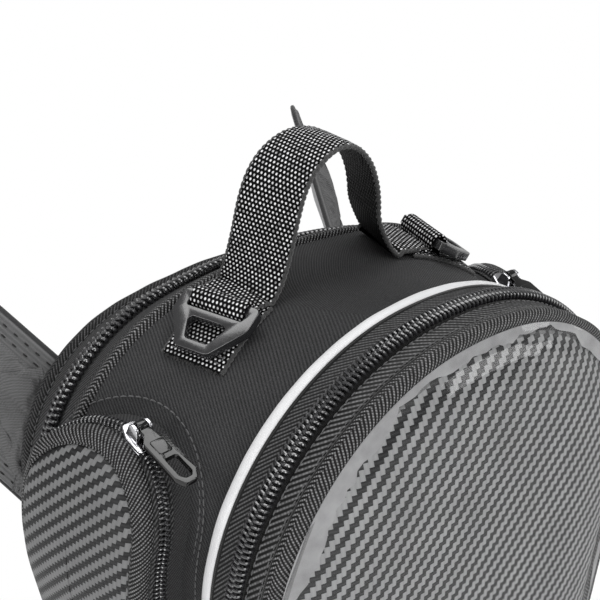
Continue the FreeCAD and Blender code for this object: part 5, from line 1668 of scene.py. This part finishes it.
# each lamp's name, place, width and height in metres, and power in watts
LIGHTS = (("key", (-0.15, -0.75, 1.15), (0.9, 0.6), 4.5),
          ("left", (-1.1, 0.1, 0.7), (0.5, 1.0), 5.0),
          ("top", (0.15, 0.3, 1.3), (1.0, 0.8), 8.5),
          ("right", (0.95, -0.85, 0.5), (0.8, 0.8), 6.0),
          ("low", (-0.62, -0.85, 0.2), (0.6, 0.5), 5.0))


def make_lights():
    """Area lamps that face the middle of the bag."""
    target = Vector((0, 0, 0.18))
    for name, place, (wide, tall), power in LIGHTS:
        lamp = bpy.data.lights.new(name, "AREA")
        lamp.shape, lamp.size, lamp.size_y, lamp.energy = "RECTANGLE", wide, tall, power
        thing = bpy.data.objects.new(name, lamp)
        thing.location = place
        thing.rotation_euler = (target - Vector(place)).to_track_quat("-Z", "Y").to_euler()
        bpy.context.scene.collection.objects.link(thing)


def make_camera():
    """The camera, above the bag's front left, close to its handle."""
    place = Vector((-267.38, -309.95, 488.46)) * MM
    swing, tilt, roll = (math.radians(angle) for angle in (-41.23, 26.61, 1.13))
    forward = Vector((-math.sin(swing) * math.cos(tilt), math.cos(swing) * math.cos(tilt),
                      -math.sin(tilt)))
    right = Vector((math.cos(swing), math.sin(swing), 0.0))
    up = right.cross(forward)
    turned_right = right * math.cos(roll) + up * math.sin(roll)
    turned_up = up * math.cos(roll) - right * math.sin(roll)
    lens = bpy.data.cameras.new("camera")
    lens.lens, lens.sensor_width, lens.clip_start = 72.57, 36.0, 0.01
    camera = bpy.data.objects.new("camera", lens)
    camera.matrix_world = basis(place, turned_right, turned_up, -forward)
    bpy.context.scene.collection.objects.link(camera)
    bpy.context.scene.camera = camera
    bpy.context.scene.view_settings.view_transform = "Standard"


# ---------------------------------------------------------------- operators and panel
class TANKBAG_OT_walls(bpy.types.Operator):
    """Sew the wall, its lining, the tank side panel and the grip pad"""
    bl_idname = "tankbag.walls"
    bl_label = "Walls"

    def execute(self, context):
        make_walls()
        return {"FINISHED"}


class TANKBAG_OT_rear_zip(bpy.types.Operator):
    """Make the bindings, tapes and coil of the arched zip"""
    bl_idname = "tankbag.rear_zip"
    bl_label = "Rear zip"

    def execute(self, context):
        make_rear_zip()
        return {"FINISHED"}


class TANKBAG_OT_front_zip(bpy.types.Operator):
    """Make the piping, tape, hinge strip and coil of the front zip"""
    bl_idname = "tankbag.front_zip"
    bl_label = "Front zip"

    def execute(self, context):
        make_front_zip()
        return {"FINISHED"}


class TANKBAG_OT_lid(bpy.types.Operator):
    """Make the lid's braid, window panel and clear film"""
    bl_idname = "tankbag.lid"
    bl_label = "Lid"

    def execute(self, context):
        make_lid()
        return {"FINISHED"}


class TANKBAG_OT_handle(bpy.types.Operator):
    """Make the webbing handle with its tabs, keepers and rings"""
    bl_idname = "tankbag.handle"
    bl_label = "Handle"

    def execute(self, context):
        make_handle()
        return {"FINISHED"}


class TANKBAG_OT_sliders(bpy.types.Operator):
    """Make the zip sliders and their pulls"""
    bl_idname = "tankbag.sliders"
    bl_label = "Sliders"

    def execute(self, context):
        make_sliders()
        return {"FINISHED"}


class TANKBAG_OT_pockets(bpy.types.Operator):
    """Make the side pockets with their zips"""
    bl_idname = "tankbag.pockets"
    bl_label = "Pockets"

    def execute(self, context):
        make_pockets()
        return {"FINISHED"}


class TANKBAG_OT_wings(bpy.types.Operator):
    """Make the padded flaps that hold the magnets"""
    bl_idname = "tankbag.wings"
    bl_label = "Flaps"

    def execute(self, context):
        make_wings()
        return {"FINISHED"}


class TANKBAG_OT_stage(bpy.types.Operator):
    """Set up the floor, the world, the lamps and the camera"""
    bl_idname = "tankbag.stage"
    bl_label = "Stage"

    def execute(self, context):
        make_floor()
        make_world()
        make_lights()
        make_camera()
        return {"FINISHED"}


STEPS = (TANKBAG_OT_walls, TANKBAG_OT_rear_zip, TANKBAG_OT_front_zip, TANKBAG_OT_lid,
         TANKBAG_OT_handle, TANKBAG_OT_sliders, TANKBAG_OT_pockets, TANKBAG_OT_wings,
         TANKBAG_OT_stage)


class TANKBAG_PT_panel(bpy.types.Panel):
    """Lists the sizes and colours and the steps of the build"""
    bl_idname = "TANKBAG_PT_panel"
    bl_label = "Tank Bag"
    bl_space_type = "VIEW_3D"
    bl_region_type = "UI"
    bl_category = "Tank Bag"

    def draw(self, context):
        for group in (context.scene.tank_bag_sizes, context.scene.tank_bag_colours):
            box = self.layout.box()
            for name in group.bl_rna.properties.keys():
                if name not in ("rna_type", "name"):
                    box.prop(group, name)
        for step in STEPS:
            self.layout.operator(step.bl_idname)


CLASSES = (TankBagColours, TankBagSizes, *STEPS, TANKBAG_PT_panel)


def register():
    """Register every class and give the scene its sizes and colours."""
    for each in CLASSES:
        bpy.utils.register_class(each)
    bpy.types.Scene.tank_bag_colours = PointerProperty(type=TankBagColours)
    bpy.types.Scene.tank_bag_sizes = PointerProperty(type=TankBagSizes)


def unregister():
    """Undo what register does."""
    del bpy.types.Scene.tank_bag_sizes
    del bpy.types.Scene.tank_bag_colours
    for each in reversed(CLASSES):
        bpy.utils.unregister_class(each)


def main():
    """Build the whole bag."""
    register()
    for step in STEPS:
        getattr(bpy.ops.tankbag, step.bl_idname.split(".")[1])()


if __name__ == "__main__":
    main()
